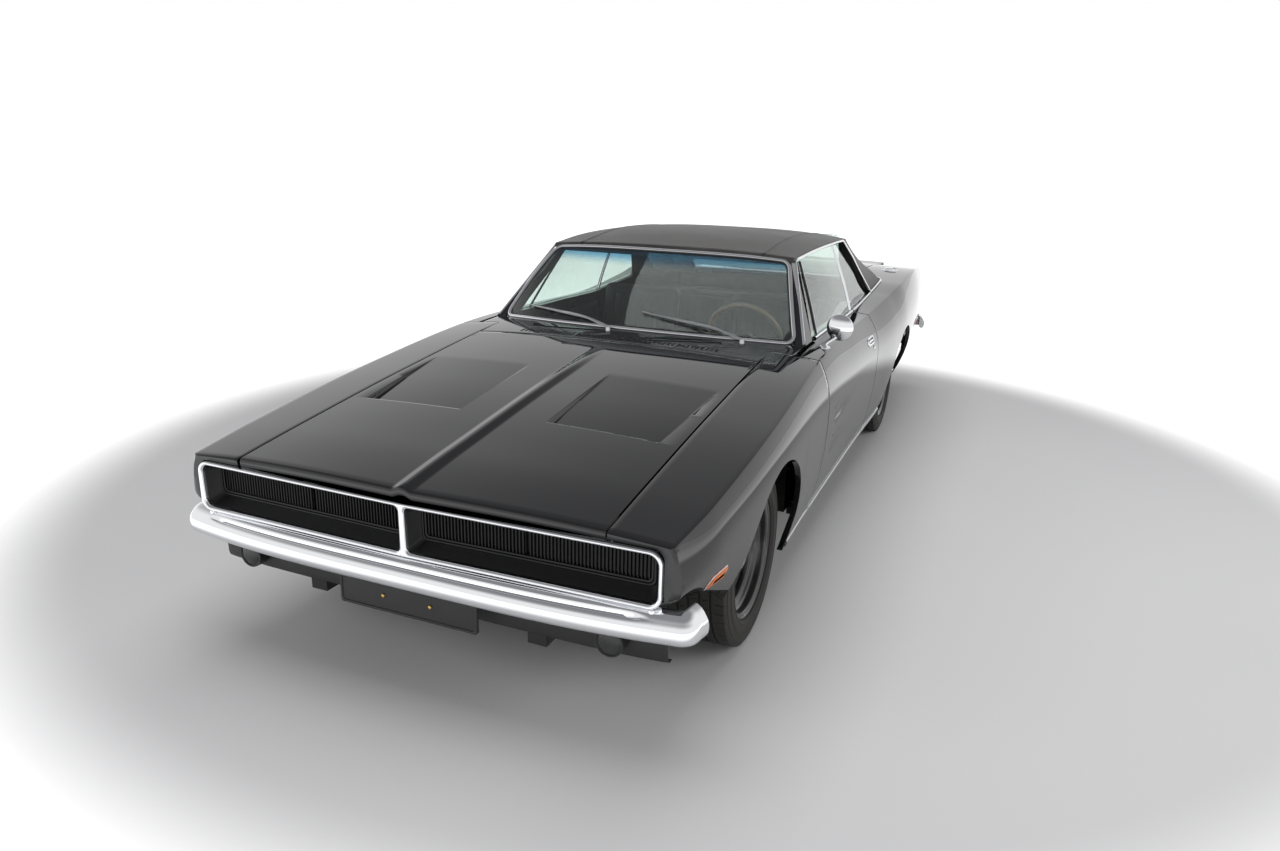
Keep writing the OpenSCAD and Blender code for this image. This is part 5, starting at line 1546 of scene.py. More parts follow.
handle_y = (door_rear_y - 0.25, door_rear_y - 0.095)
handle_z = 0.806
# The hand well is a flat matte black sheet on the door skin: painted shade of the recess behind the flap.
well_shade = Finish("handle_well_shade", uneven=(60.0, 0.4, 0.2), base_color=(0.006, 0.006, 0.006), roughness=0.5)
for side, name in sides:
    body = f"door_{name}"
    outlines = []
    for inset, out in mm((0, -3), (0, 1.5), (1.5, 3.5), (3.5, 4), (5.5, 3), (6.5, 0.4), (6.5, -3)):
        outlines.append(
            on_door(
                inset_box((handle_y[0], handle_z - 0.021), (handle_y[1], handle_z + 0.021), inset, 0.0195),
                out))
    fit(ring(f"handle_bezel_{name}", outlines, chrome, side=side), "chrome", crease=50, body=body)
    well = []
    for z in steps(handle_z - 0.0165, handle_z + 0.0165, 6):
        pinch = 0.01 * (abs(z - handle_z) / 0.0165) ** 3
        well.append([
            (door_x(y, z) + 0.0007, y, z)
            for y in steps(handle_y[0] + 0.006 + pinch, handle_y[1] - 0.006 - pinch, 16)])
    fit(panel(f"handle_well_shade_{name}", well, well_shade, side), "grille_black", body=body)
    flap = []
    for inset, out in mm((0, -2), (0, 4), (1.5, 6), (5, 7.4), (9.5, 8)):
        flap.append(
            on_door(
                round_box(
                    (handle_y[0] + 0.008 + inset, handle_z - 0.015 + inset * 0.8),
                    (handle_y[1] - 0.034 - inset, handle_z + 0.0065 - inset * 0.8),
                    [max(0.001, 0.0085 - inset * 0.8)] * 4),
                out))
    fit(ring(f"handle_flap_{name}", flap, chrome, side=side), "chrome", crease=50, body=body)
    lock_y, lock_z = handle_y[1] - 0.012, handle_z - 0.046
    fit(
        turned(
            f"key_lock_{name}",
            mm(
                (0.5, 3.5), (2, 3.5), (2.2, 2), (2.4, 3.6), (8, 3.6), (11, 2.8), (11.8, 0), (11.8, -4),
                (0.5, -4))[::-1],
            (door_x(lock_y, lock_z), lock_y, lock_z), chrome, axis="x", side=side, points=32),
        "chrome", body=body)


# Fuel filler. A round chromed racing cap on top of the left quarter panel: a ring with
# eight bolts round a hinged lid.
cap_low, cap_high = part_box("fuel_filler")
cap_at = ((cap_low[0] + cap_high[0]) / 2, (cap_low[1] + cap_high[1]) / 2, cap_low[2])
cap_profile = mm(
    (54, -4), (54, 3), (53, 4.5), (42, 5.2), (40.5, 4.5), (40, 3), (38.5, 3), (38, 9), (36.5, 11.5),
    (34, 12.8), (20, 14), (0.5, 14.6))
fit(
    turned("filler_cap", cap_profile, cap_at, chrome, axis="z", points=72), "chrome", "fuel_filler",
    crease=40)
for k in range(8):
    a = 2 * math.pi * (k + 0.5) / 8
    place = (cap_at[0] + 0.0475 * math.cos(a), cap_at[1] + 0.0475 * math.sin(a), cap_at[2] + 0.0046)
    fit(
        turned(
            f"filler_bolt_{k + 1}", mm((3.2, -1), (3.2, 1), (2.6, 1.9), (1.4, 2.1), (1.3, 1.2), (0.3, 1.2)),
            place, satin_black, axis="z", points=12),
        "chrome")
fit(
    tube(
        "filler_latch",
        [
            (cap_at[0] + 0.02, cap_at[1], cap_at[2] + 0.0135),
            (cap_at[0] + 0.036, cap_at[1], cap_at[2] + 0.015),
            (cap_at[0] + 0.043, cap_at[1], cap_at[2] + 0.0095)],
        [(0.008, 0.0016), (0.009, 0.0022), (0.007, 0.0022)], chrome, up=(0.0, 0.0, 1.0), points=12),
    "chrome")


# Wipers. Two satin stainless arms on round pivots behind the hood, each with a bridged
# blade lying along the foot of the glass.
satin = Finish("satin_steel", base_color=(0.6, 0.61, 0.62), metallic=1.0, roughness=0.28)
satin.wear({"Roughness": satin.noise(120.0, stretch=(1.0, 12.0, 12.0)) * 0.2 + 0.2})
shield_out = (0.0, -0.55, 0.83)
for name, root_u, tip_u, tip_w in (("right", -0.12, -0.72, 0.13), ("left", 0.72, 0.14, 0.17)):
    foot = windshield_point(root_u, 0.0)
    pivot = Vector((foot.x, foot.y - 0.046, 0.0))
    pivot.z = top_z(pivot.y, pivot.x) + 0.0006
    knob = mm((11, -1), (11, 6), (9.5, 8.5), (9, 15), (7.5, 17.5), (0.5, 18.2))
    fit(
        turned(f"wiper_pivot_{name}", knob, pivot, satin, axis="z", points=28), "satin_steel",
        *once(1 if name == "left" else -1, "wipers"))

    def on_glass(t, lift):
        return windshield_point(mix(root_u, tip_u, t), mix(0.03, tip_w, t), lift)

    low, high = pivot + Vector((0.0, 0.0, 0.015)), on_glass(0.66, 0.02)
    arm = [
        low.lerp(high, t) + Vector((0.0, -0.004, 0.012)) * math.sin(math.pi * t)
        for t in steps(0.0, 1.0, 20)]
    arm_radii = [(mix(0.0085, 0.0032, t), mix(0.0036, 0.0018, t)) for t in steps(0.0, 1.0, len(arm) - 1)]
    fit(tube(f"wiper_arm_{name}", arm, arm_radii, satin, up=shield_out, points=16), "satin_steel")
    bridge = [on_glass(t, 0.0125 + 0.0065 * (1 - ((t - 0.66) / 0.36) ** 2)) for t in steps(0.3, 1.02, 24)]
    fit(
        tube(
            f"wiper_bridge_{name}", bridge,
            [
                (mix(0.0022, 0.0046, max(0.0, 1 - abs(t - 0.66) / 0.36)), 0.0018)
                for t in steps(0.3, 1.02, 24)],
            satin, up=shield_out, points=12),
        "satin_steel")
    carrier = [on_glass(t, 0.0098) for t in steps(0.24, 1.16, 26)]
    fit(tube(f"wiper_blade_{name}", carrier, (0.003, 0.0022), satin, up=shield_out, points=12), "satin_steel")
    lip = [on_glass(t, 0.0054) for t in steps(0.235, 1.165, 26)]
    fit(tube(f"wiper_rubber_{name}", lip, (0.0013, 0.0045), rubber, up=shield_out, points=10), "satin_steel")


# Carpet. Black loop pile, moulded over the foot wells, the toe board and the tunnel.
firewall_y = door_front_y - 0.046
kick_y = rear_axle_y - 0.4
cabin_floor_z = 0.235
tunnel_z = 0.41
trunk_floor_z = 0.48
pile = Finish(
    "black_carpet", base_color=(0.012, 0.012, 0.013), roughness=0.95, sheen_weight=0.4, sheen_roughness=0.5)
worn = pile.noise(5.0, detail=4.0)
pile.wear({"Base Color": pile.blend(worn, (0.008, 0.008, 0.009), (0.02, 0.019, 0.019))})
pile.bump(pile.cells(700.0), distance=0.0015)
carpet_rows = []
for y in steps(firewall_y + 0.012, kick_y - 0.01, 40):
    row = []
    for x in steps(-floor_half + 0.004, floor_half - 0.004, 72):
        hump = ease(0.176, 0.153, abs(x))
        toe = 0.2 * ease(firewall_y + 0.2, firewall_y + 0.02, y) * (1 - hump)
        row.append((x, y, mix(cabin_floor_z + 0.006, tunnel_z + 0.007, hump) + toe))
    carpet_rows.append(row)
fit(panel("carpet", carpet_rows, pile), "interior_plastic", thickness=0.004)


# Front seats. Two buckets in black grained vinyl over foam, with lengthwise pleats
# between plain bolsters, a welt round each cushion, and a steel base on the floor.
seat_cloth = Finish(
    "seat_vinyl", base_color=(0.012, 0.012, 0.013), roughness=0.46, specular_ior_level=0.35,
    sheen_weight=0.05)
creases = seat_cloth.cells(260.0, feature="DISTANCE_TO_EDGE")
rubbed = seat_cloth.noise(6.0, detail=3.0)
seat_cloth.wear({
    "Roughness": rubbed * 0.25 + 0.34,
    "Base Color": seat_cloth.blend(rubbed, (0.008, 0.008, 0.009), (0.014, 0.0135, 0.014)),
})
seat_cloth.bump(creases.ramp(0.0, 0.18), distance=0.0004)


def pad(name, size, corner, voxel, swell):
    """A cushion about the origin: a rounded block, blown up under its cover."""
    block = bmesh.new()
    bmesh.ops.create_cube(block, size=1.0)
    for v in block.verts:
        v.co = Vector((v.co.x * (size[0] - swell), v.co.y * (size[1] - swell), v.co.z * (size[2] - swell)))
    bmesh.ops.bevel(block, geom=list(block.edges), offset=corner, segments=4, profile=0.5, affect="EDGES")
    mesh = bpy.data.meshes.new(name)
    block.to_mesh(mesh)
    block.free()
    obj = bpy.data.objects.new(name, mesh)
    scene.collection.objects.link(obj)
    even = obj.modifiers.new("even", "REMESH")
    even.mode = "VOXEL"
    even.voxel_size = voxel
    freeze(obj, 180)
    cover = obj.modifiers.new("cover", "CLOTH")
    cover.settings.use_pressure = True
    cover.settings.uniform_pressure_force = 4.0
    cover.settings.effector_weights.gravity = 0.0
    cover.point_cache.frame_end = 20
    for frame_number in range(1, 21):
        scene.frame_set(frame_number)
    blown = obj.evaluated_get(bpy.context.evaluated_depsgraph_get())
    moved = [v.co.copy() for v in blown.data.vertices]
    obj.modifiers.remove(cover)
    scene.frame_set(1)
    for v, to in zip(obj.data.vertices, moved):
        step = to - v.co
        v.co += step * min(1.0, swell / max(step.length, 1e-6))
    obj.modifiers.new("finer", "SUBSURF").levels = 1
    freeze(obj, 180)
    return obj


def upholster(source, name, centre, tilt, pleat, side=1):
    """A pad set in its place, sewn down along its pleats: pleat gives their depth."""
    turn = Matrix.Rotation(math.radians(tilt), 3, "X")
    mesh = source.data.copy()
    normals = [v.normal.copy() for v in mesh.vertices]
    for v, normal in zip(mesh.vertices, normals):
        v.co = v.co - normal * pleat(v.co, normal)
        v.co = turn @ v.co + Vector(centre)
        v.co.x *= side
    mesh.name = name
    mesh.materials.clear()
    mesh.materials.append(seat_cloth.material)
    if side < 0:
        mesh.flip_normals()
    obj = bpy.data.objects.new(name, mesh)
    scene.collection.objects.link(obj)
    return obj


def pleats(half_x, half_long, pitch, face):
    """Sewn channels on one face, lengthwise, with a seam round them; face is an axis and its sign."""
    axis, sign = face

    def dip(p, normal):
        long = p[3 - axis] if axis else p[1]
        across = abs(p.x)
        if normal[axis] * sign < 0.35 or across > half_x + 0.02 or abs(long) > half_long + 0.02:
            return 0.0
        rim = min(half_x - across, half_long - abs(long))
        seam = math.exp(-(rim / 0.006) ** 2)
        phase = (p.x / pitch + 0.5) % 1.0 - 0.5
        channel = math.exp(-(phase * pitch / 0.0055) ** 2) if rim > 0.0 else 0.0
        return 0.007 * max(seam, channel * ease(0.0, 0.012, rim))
    return dip


def welt(name, source, outline, centre, tilt, side=1):
    """A piped edge round a pad, on its own surface."""
    turn = Matrix.Rotation(math.radians(tilt), 3, "X")
    path = []
    for p in outline:
        place, normal = source.closest_point_on_mesh(Vector(p))[1:3]
        path.append(turn @ (place + normal * 0.001) + Vector(centre))
    cord_r = 0.0042
    around = [(cord_r * math.cos(a), cord_r * math.sin(a)) for a in steps(0, 2 * math.pi, 8)[:-1]]
    outward = [(p - Vector(centre)).normalized() for p in path]
    fit(sweep(name, path, around, seat_cloth, side, ups=outward, closed=True), "seat_vinyl")


front_cushion = pad("front_cushion_form", (0.5, 0.52, 0.15), 0.04, 0.012, 0.012)
front_back = pad("front_back_form", (0.48, 0.12, 0.62), 0.038, 0.012, 0.012)
seat_x = 0.402
seat_y = door_rear_y - 0.5
cushion_edge = [(x, y, 0.045) for x, y in round_box((-0.25, -0.26), (0.25, 0.26), [0.07] * 4)]
back_edge = [(x, -0.035, z) for x, z in round_box((-0.24, -0.31), (0.24, 0.31), [0.08] * 4)]
for side, name in sides:
    lap = (seat_x, seat_y, 0.405)
    cushion = upholster(
        front_cushion, f"front_cushion_{name}", lap, 0.0, pleats(0.15, 0.195, 0.05, (2, 1)), side)
    fit(cushion, "seat_vinyl", *once(side, "front_seats"), crease=180)
    spine = (seat_x, seat_y + 0.29, 0.71)
    back = upholster(
        front_back, f"front_backrest_{name}", spine, -14.0, pleats(0.145, 0.235, 0.0483, (1, -1)), side)
    fit(back, "seat_vinyl", crease=180)
    welt(f"front_cushion_welt_{name}", front_cushion, cushion_edge, lap, 0.0, side)
    welt(f"front_backrest_welt_{name}", front_back, back_edge, spine, -14.0, side)
    for where, x in (("inner", seat_x - 0.165), ("outer", seat_x + 0.165)):
        track_line = [
            (seat_y - 0.2, cabin_floor_z + 0.004), (seat_y - 0.185, cabin_floor_z + 0.03),
            (seat_y - 0.15, 0.318), (seat_y - 0.12, 0.331), (seat_y + 0.12, 0.331), (seat_y + 0.15, 0.318),
            (seat_y + 0.19, cabin_floor_z + 0.03), (seat_y + 0.2, cabin_floor_z + 0.004)]
        fit(bar(f"front_seat_track_{where}_{name}", track_line, (x - 0.014, x + 0.014), satin_black, side),
            "interior_plastic", bevel=0.002)
    hinge_at = (seat_x + 0.228, seat_y + 0.238, 0.44)
    fit(
        turned(
            f"front_seat_hinge_{name}", mm((0.5, -6), (26, -6), (30, -3), (30, 3), (24, 8), (0.5, 10)),
            hinge_at, chrome, axis="x", side=side, points=32),
        "chrome")


# Rear seat. One bench for two in the same vinyl, with a sewn roll down its middle.
rear_cushion = pad("rear_cushion_form", (1.12, 0.43, 0.14), 0.04, 0.016, 0.012)
rear_back = pad("rear_back_form", (1.12, 0.11, 0.42), 0.036, 0.016, 0.012)


def bench_pleats(half_long, face):
    one = pleats(0.19, half_long, 0.0475, face)

    def dip(p, normal):
        return one(Vector((abs(p.x) - 0.275, p.y, p.z)), normal)
    return dip


bench_at = (0.0, kick_y - 0.228, tunnel_z - 0.0004 + 0.07)
bench = upholster(rear_cushion, "rear_cushion", bench_at, 0.0, bench_pleats(0.15, (2, 1)))
fit(bench, "seat_vinyl", "rear_seat", crease=180)
rest_at = (0.0, kick_y + 0.02, 0.7)
rest = upholster(rear_back, "rear_backrest", rest_at, -14.0, bench_pleats(0.15, (1, -1)))
fit(rest, "seat_vinyl", crease=180)
welt(
    "rear_cushion_welt", rear_cushion,
    [(x, y, 0.04) for x, y in round_box((-0.56, -0.215), (0.56, 0.215), [0.06] * 4)], bench_at, 0.0)
welt(
    "rear_backrest_welt", rear_back,
    [(x, -0.032, z) for x, z in round_box((-0.56, -0.21), (0.56, 0.21), [0.07] * 4)], rest_at, -14.0)
for form in (front_cushion, front_back, rear_cushion, rear_back):
    bpy.data.objects.remove(form)
for side, name in sides:
    box_line = [
        (kick_y - 0.4, cabin_floor_z + 0.004), (kick_y - 0.4, tunnel_z - 0.01), (kick_y - 0.392, tunnel_z),
        (kick_y - 0.06, tunnel_z), (kick_y - 0.052, tunnel_z - 0.01),
        (kick_y - 0.052, cabin_floor_z + 0.004)]
    fit(
        bar(f"rear_seat_base_{name}", box_line, (0.178, 0.539), satin_black, side), "interior_plastic",
        bevel=0.003)


# Dashboard. A padded black brow over a recessed instrument panel, with round gauges
# before the driver, a radio in the middle and a glove box on the right.
dash_y = firewall_y + 0.006
dash_black = Finish("dash_vinyl", base_color=(0.016, 0.016, 0.017), roughness=0.55)
dash_black.wear({"Roughness": dash_black.noise(20.0, detail=3.0) * 0.2 + 0.45})
dash_black.bump(dash_black.cells(500.0, feature="DISTANCE_TO_EDGE").ramp(0.0, 0.2), distance=0.0003)
dash_sections = []
for x in steps(-0.748, 0.748, 60):
    end = ease(0.748, 0.7, abs(x))
    bin_share = ease(0.135, 0.165, x) * ease(0.665, 0.635, x)
    deep = 0.016 * bin_share
    dash_sections.append([
        (x, dash_y + y * mix(0.96, 1.0, end), z)
        for y, z in (
            (0.004, 0.563), (0.17, 0.643), (0.286, 0.703), (0.3, 0.715), (0.306, 0.735), (0.306, 0.768),
            (0.3, 0.776 - deep * 0.3), (0.288 - deep, 0.782 - deep * 0.3), (0.28 - deep, 0.79),
            (0.264 - deep, 0.84), (0.266 - deep, 0.846), (0.284, 0.85), (0.29, 0.858), (0.286, 0.87),
            (0.272, 0.881), (0.245, 0.89), (0.2, 0.896), (0.1, 0.899), (0.05, 0.897), (0.004, 0.893))])
dash_skin = shell("dashboard_shell", [row[::-1] for row in dash_sections], dash_black)
fit(dash_skin, "interior_plastic", "dashboard", crease=38)
dial_black = Finish("gauge_face", uneven=(100.0, 0.3, 0.1), base_color=(0.01, 0.01, 0.01), roughness=0.35)
pointer_white = Finish("gauge_white", uneven=(300.0, 0.4, 0.2), base_color=(0.75, 0.74, 0.7), roughness=0.5)
gauge_face_y = dash_y + 0.262
for k, (x, r, sweep_from) in enumerate((
    (0.3, 0.031, 0.6), (0.48, 0.031, 2.2), (0.205, 0.023, 1.2), (0.395, 0.02, 2.6), (0.58, 0.023, 0.9))):
    at = (x, gauge_face_y, 0.815)
    fit(
        turned(
            f"gauge_bezel_{k + 1}",
            [
                (r, 0.002), (r + 0.0035, 0.003), (r + 0.0045, 0.006), (r + 0.0035, 0.0095),
                (r + 0.001, 0.01), (r, 0.0085)][::-1] + [(r - 0.0005, 0.0035)],
            at, satin, points=40),
        "satin_steel")
    fit(
        turned(
            f"gauge_face_{k + 1}",
            [(0.0005, 0.003), (r - 0.0005, 0.003), (r - 0.0005, 0.0052), (0.0005, 0.0052)], at, dial_black,
            points=40),
        "interior_plastic")
    marks = []
    for m in range(11):
        a = math.radians(-135 + 27 * m)
        marks.append((
            Vector((at[0] + math.sin(a) * r * 0.86, 0.0, at[2] + math.cos(a) * r * 0.86)),
            Vector((at[0] + math.sin(a) * r * 0.72, 0.0, at[2] + math.cos(a) * r * 0.72)), 0.0006))
    marks.append((
        Vector((at[0], 0.0, at[2])),
        Vector((at[0] + math.sin(sweep_from) * r * 0.66, 0.0, at[2] - math.cos(sweep_from) * r * 0.66)),
        0.0008))
    vertices = []
    faces = []
    for a, b, w in marks:
        off = (b - a).normalized().cross(Vector((0, 1, 0))) * w
        base = len(vertices)
        for y in (gauge_face_y + 0.0051, gauge_face_y + 0.0058):
            vertices += [tuple(v + Vector((0, y, 0))) for v in (a - off, a + off, b + off, b - off)]
        faces += [
            tuple(base + i for i in f)
            for f in ((3, 2, 1, 0), (4, 5, 6, 7), (0, 1, 5, 4), (1, 2, 6, 5), (2, 3, 7, 6), (3, 0, 4, 7))]
    fit(stand(f"gauge_marks_{k + 1}", vertices, faces, pointer_white), "interior_plastic")
for name, low, high, out, finish in (
    ("radio_face", (-0.095, 0.79), (0.095, 0.838), 0.01, satin_black),
    ("heater_face", (-0.095, 0.725), (0.095, 0.765), 0.006, satin_black),
    ("glove_box_door", (-0.64, 0.722), (-0.22, 0.768), 0.005, dash_black)):
    base_y = dash_y + (0.274 if low[1] > 0.78 else 0.303)
    outlines = []
    for inset, forward in ((0.0, -0.004), (0.0, out * 0.6), (0.0015, out * 0.9), (0.004, out)):
        outlines.append([(x, base_y + forward, z) for x, z in inset_box(low, high, inset, 0.008)][::-1])
    mid = [((low[0] + high[0]) / 2, base_y + out, (low[1] + high[1]) / 2)] * len(outlines[0])
    fit(ring(name, outlines + [mid], finish, closed=False), "interior_plastic", crease=50)
for k, (x, z, y, r) in enumerate((
    (-0.078, 0.812, 0.284, 0.01), (0.078, 0.812, 0.284, 0.01), (-0.06, 0.745, 0.309, 0.008),
    (0.0, 0.745, 0.309, 0.008), (0.06, 0.745, 0.309, 0.008), (-0.43, 0.745, 0.308, 0.011))):
    knob = [(r, -0.002), (r, 0.004), (r * 0.85, 0.006), (r * 0.8, 0.014), (r * 0.6, 0.016), (0.0005, 0.0165)]
    fit(turned(f"dash_knob_{k + 1}", knob, (x, dash_y + y, z), satin, points=20), "satin_steel")


# Steering wheel. A wood-grained rim with finger grips on three drilled steel spokes, and
# a black horn cap, on a painted column with a turn lever.
steering_at = Vector((0.39, door_front_y + 0.56, 0.87))
steering_lean = math.radians(22)
wheel_up = Vector((0.0, -math.sin(steering_lean), math.cos(steering_lean)))
wheel_down_column = Vector((0.0, -math.cos(steering_lean), -math.sin(steering_lean)))
steering_r = (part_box("steering_wheel")[1][0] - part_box("steering_wheel")[0][0]) / 2 - 0.013


def on_wheel(x, y, z):
    return tuple(steering_at + Vector((x, 0, 0)) + wheel_up * y + wheel_down_column * z)


def wheel_turned(name, profile, finish):
    """A piece turned about the column, from (radius, down the column) pairs."""
    around = steps(0.0, 2 * math.pi, 48)[:-1]
    rows = [[on_wheel(r * math.cos(turn), r * math.sin(turn), a) for turn in around] for r, a in profile]
    return panel(name, rows, finish, wrap=True, ends="capped")


wood = Finish(
    "wood_rim", base_color=(0.13, 0.055, 0.022), roughness=0.32, coat_weight=0.5, coat_roughness=0.15)
grain = wood.noise(30.0, detail=6.0, roughness=0.65, stretch=(1.0, 6.0, 6.0))
wood.wear({
    "Base Color": wood.blend(grain.ramp(0.35, 0.65), (0.07, 0.028, 0.011), (0.17, 0.08, 0.034)),
    "Roughness": grain * 0.15 + 0.26})
wood.bump(grain, distance=0.0003)
rim_rows = []
for a in steps(0.0, 2 * math.pi, 192)[:-1]:
    row = []
    for b in steps(0.0, 2 * math.pi, 16)[:-1]:
        grip = 0.0013 * math.cos(40 * a) * max(0.0, -math.cos(b) * 0.5 + 0.5 * math.sin(b))
        r = steering_r + (0.0125 + grip) * math.cos(b)
        row.append(on_wheel(r * math.cos(a), r * math.sin(a), (0.0125 + grip) * math.sin(b)))
    rim_rows.append(row)
fit(ring("steering_rim", rim_rows, wood), "wood_rim", "steering_wheel", crease=60, body="steering_wheel")
for k, angle in enumerate((0, 180, 270)):
    c, s = cosd(angle), sind(angle)
    spoke = []
    for t in steps(0.0, 1.0, 16):
        r = mix(0.03, steering_r - 0.004, t)
        half = mix(0.021, 0.0115, ease(0.0, 0.9, t)) + 0.01 * ease(0.9, 1.0, t)
        z = mix(0.017, 0.002, ease(0.15, 1.0, t))
        outline = [
            (-half, 0.0018), (-half, -0.0006), (-half + 0.002, -0.0018), (-half * 0.45, -0.0018),
            (-half * 0.35, -0.0002), (half * 0.35, -0.0002), (half * 0.45, -0.0018),
            (half - 0.002, -0.0018), (half, -0.0006), (half, 0.0018)]
        spoke.append([on_wheel(r * c - w * s, r * s + w * c, z + d) for w, d in outline])
    fit(shell(f"steering_spoke_{k + 1}", spoke, satin), "satin_steel", crease=40, body="steering_wheel")
hub_line = mm((0.5, 34), (30, 34), (44, 26), (46, 14), (44, 8), (38, 6), (0.5, 6))
fit(wheel_turned("steering_hub", hub_line, satin_black), "interior_plastic", body="steering_wheel")
horn_line = mm((0.5, 8), (36, 8), (36.5, 2), (34, -2), (26, -6), (12, -8), (0.5, -8.5))
fit(wheel_turned("horn_cap", horn_line, dash_black), "interior_plastic", body="steering_wheel")
fit(
    wheel_turned("horn_ring", mm((36, 6), (40, 6), (40.5, 2), (38.5, -1), (36, 0)), chrome), "chrome",
    body="steering_wheel")
column = mm(
    (0.5, 38.5), (30, 38.5), (33, 42), (34, 60), (34, 110), (32, 118), (27, 124), (26, 300), (26, 455),
    (0.5, 455))
fit(wheel_turned("column_tube", column[::-1], satin_black), "interior_plastic", "steering_column", crease=40)
lever = [
    on_wheel(-0.026, 0.006, 0.075), on_wheel(-0.075, 0.012, 0.07), on_wheel(-0.125, 0.02, 0.062),
    on_wheel(-0.138, 0.022, 0.06)]
fit(tube("turn_lever", lever, [0.0035, 0.0032, 0.0045, 0.003], chrome, points=12), "chrome")


# Inner mirror. A small black oblong on a stem below the middle of the header.
inner_mirror_at = Vector((0.0, header_y + 0.075, roof_z(header_y, 0) - 0.112))
outlines = []
for inset, back in mm((4, -12), (0, -6), (0, 6), (3, 10), (6, 10.5)):
    outline = inset_box((-0.11, -0.027), (0.11, 0.027), inset, 0.022)
    outlines.append([tuple(inner_mirror_at + Vector((x, back, z))) for x, z in outline])
mid = [tuple(inner_mirror_at + Vector((0, -0.014, 0)))] * len(outlines[0])
end = [tuple(inner_mirror_at + Vector((0, 0.01, 0)))] * len(outlines[0])
fit(
    ring("inner_mirror_shell", [mid] + outlines + [end], satin_black, closed=False), "interior_plastic",
    crease=50)
fit(
    tube(
        "inner_mirror_stem",
        [
            inner_mirror_at + Vector((0, -0.01, 0.004)), inner_mirror_at + Vector((0, -0.03, 0.03)),
            inner_mirror_at + Vector((0, -0.04, 0.066)), inner_mirror_at + Vector((0, -0.04, 0.083))],
        [0.005, 0.005, 0.006, 0.014], chrome, up=(1.0, 0.0, 0.0), points=16),
    "chrome")


# Door trims. Pleated black vinyl panels clipped to the doors, with an arm rest, a pull
# handle and a window crank.
trim_low_y, trim_high_y = door_front_y + 0.1, door_rear_y - 0.06
trim_low_z, trim_high_z = 0.32, 0.87
for side, name in sides:
    body = f"door_{name}"

    def trim_x(y, z):
        inner_x = door_inner_x(y)
        low_z, high_z = rocker_top + gap, top_z(y, inner_x)
        return mix(floor_half + 0.008, inner_x + 0.002, (z - low_z) / (high_z - low_z)) - 0.0008

    rows = []
    for z in steps(trim_low_z, trim_high_z, 28):
        row = []
        for y in steps(trim_low_y, trim_high_y, 150):
            flute = abs(math.sin(math.pi * (y - trim_low_y) / 0.044)) ** 0.5
            rib = 0.0035 * flute * ease(0.56, 0.572, z) * ease(0.812, 0.8, z)
            edge = min(y - trim_low_y, trim_high_y - y, z - trim_low_z, trim_high_z - z)
            roll = 0.006 * ease(0.0, 0.01, edge)
            row.append((trim_x(y, z) - roll - rib, y, z))
        rows.append(row)
    fit(panel(f"door_trim_{name}", rows[::-1], seat_cloth, side), "interior_plastic", crease=60, body=body)
    rest_line = mm((0, -22), (30, -26), (52, -18), (60, -2), (56, 12), (40, 20), (20, 21), (0, 16))
    sections = []
    for t in steps(0.0, 1.0, 24):
        y = mix(door_front_y + 0.48, door_rear_y - 0.16, t)
        grow = ease(0.0, 0.1, t) * ease(1.0, 0.9, t) * 0.6 + 0.4
        sections.append([(trim_x(y, 0.6) - 0.004 - a * grow, y, 0.6 + b * grow) for a, b in rest_line][::-1])
    fit(shell(f"arm_rest_{name}", sections, seat_cloth, side), "interior_plastic", crease=60, body=body)
    crank_at = (trim_x(door_front_y + 0.42, 0.54) - 0.01, door_front_y + 0.42, 0.54)
    fit(
        turned(
            f"crank_hub_{name}", mm((18, 8), (18, -2), (14, -8), (0.5, -9)), crank_at, chrome, axis="x",
            side=side, points=24),
        "chrome", body=body)
    arm_path = [
        (crank_at[0] - 0.006, crank_at[1], crank_at[2]),
        (crank_at[0] - 0.01, crank_at[1] + 0.05, crank_at[2] - 0.02),
        (crank_at[0] - 0.014, crank_at[1] + 0.1, crank_at[2] - 0.04)]
    fit(
        tube(
            f"crank_arm_{name}", arm_path, [(0.008, 0.003), (0.006, 0.003), (0.008, 0.003)], chrome, side,
            up=(1.0, 0.0, 0.0), points=12),
        "chrome", body=body)
    fit(turned(f"crank_knob_{name}", mm((6, 4), (7, -4), (11, -10), (12, -20), (8, -26), (0.5, -27)),
               arm_path[2], satin_black, axis="x", side=side, points=20), "interior_plastic", body=body)


# Body structure. The firewall and the shelf behind the rear seat, with the hinge
# brackets of the hood and the deck lid, and black coatings on the pressed steel below.
undercoat = Finish("undercoat", base_color=(0.014, 0.014, 0.015), roughness=0.78)
spray = undercoat.noise(8.0, detail=4.0)
undercoat.wear({
    "Base Color": undercoat.blend(spray, (0.009, 0.009, 0.01), (0.022, 0.021, 0.021)),
    "Roughness": spray * 0.2 + 0.66})
undercoat.bump(undercoat.noise(350.0, detail=3.0), distance=0.0006)
hood_half = hood_w / 2
wall_top = top_z(firewall_y, 0.62) - 0.012


def pressed(name, x_low, x_high, z_low, z_high, y, finish, beads):
    """A pressed sheet across the car with raised beads on its front."""
    rows = []
    rim = (0.0, 0.015, 0.02, 0.025, 0.03)
    for z in [z_low + r for r in rim] + [z_high - r for r in rim[::-1]]:
        row = []
        for x in steps(x_low, x_high, 80):
            edge = min(x - x_low, x_high - x, z - z_low, z_high - z)
            wave = math.sin(math.pi * beads * (x - x_low) / (x_high - x_low)) ** 2
            row.append((x, y - 0.006 * ease(0.4, 0.6, wave) * ease(0.015, 0.03, edge), z))
        rows.append(row)
    return panel(name, rows, finish)


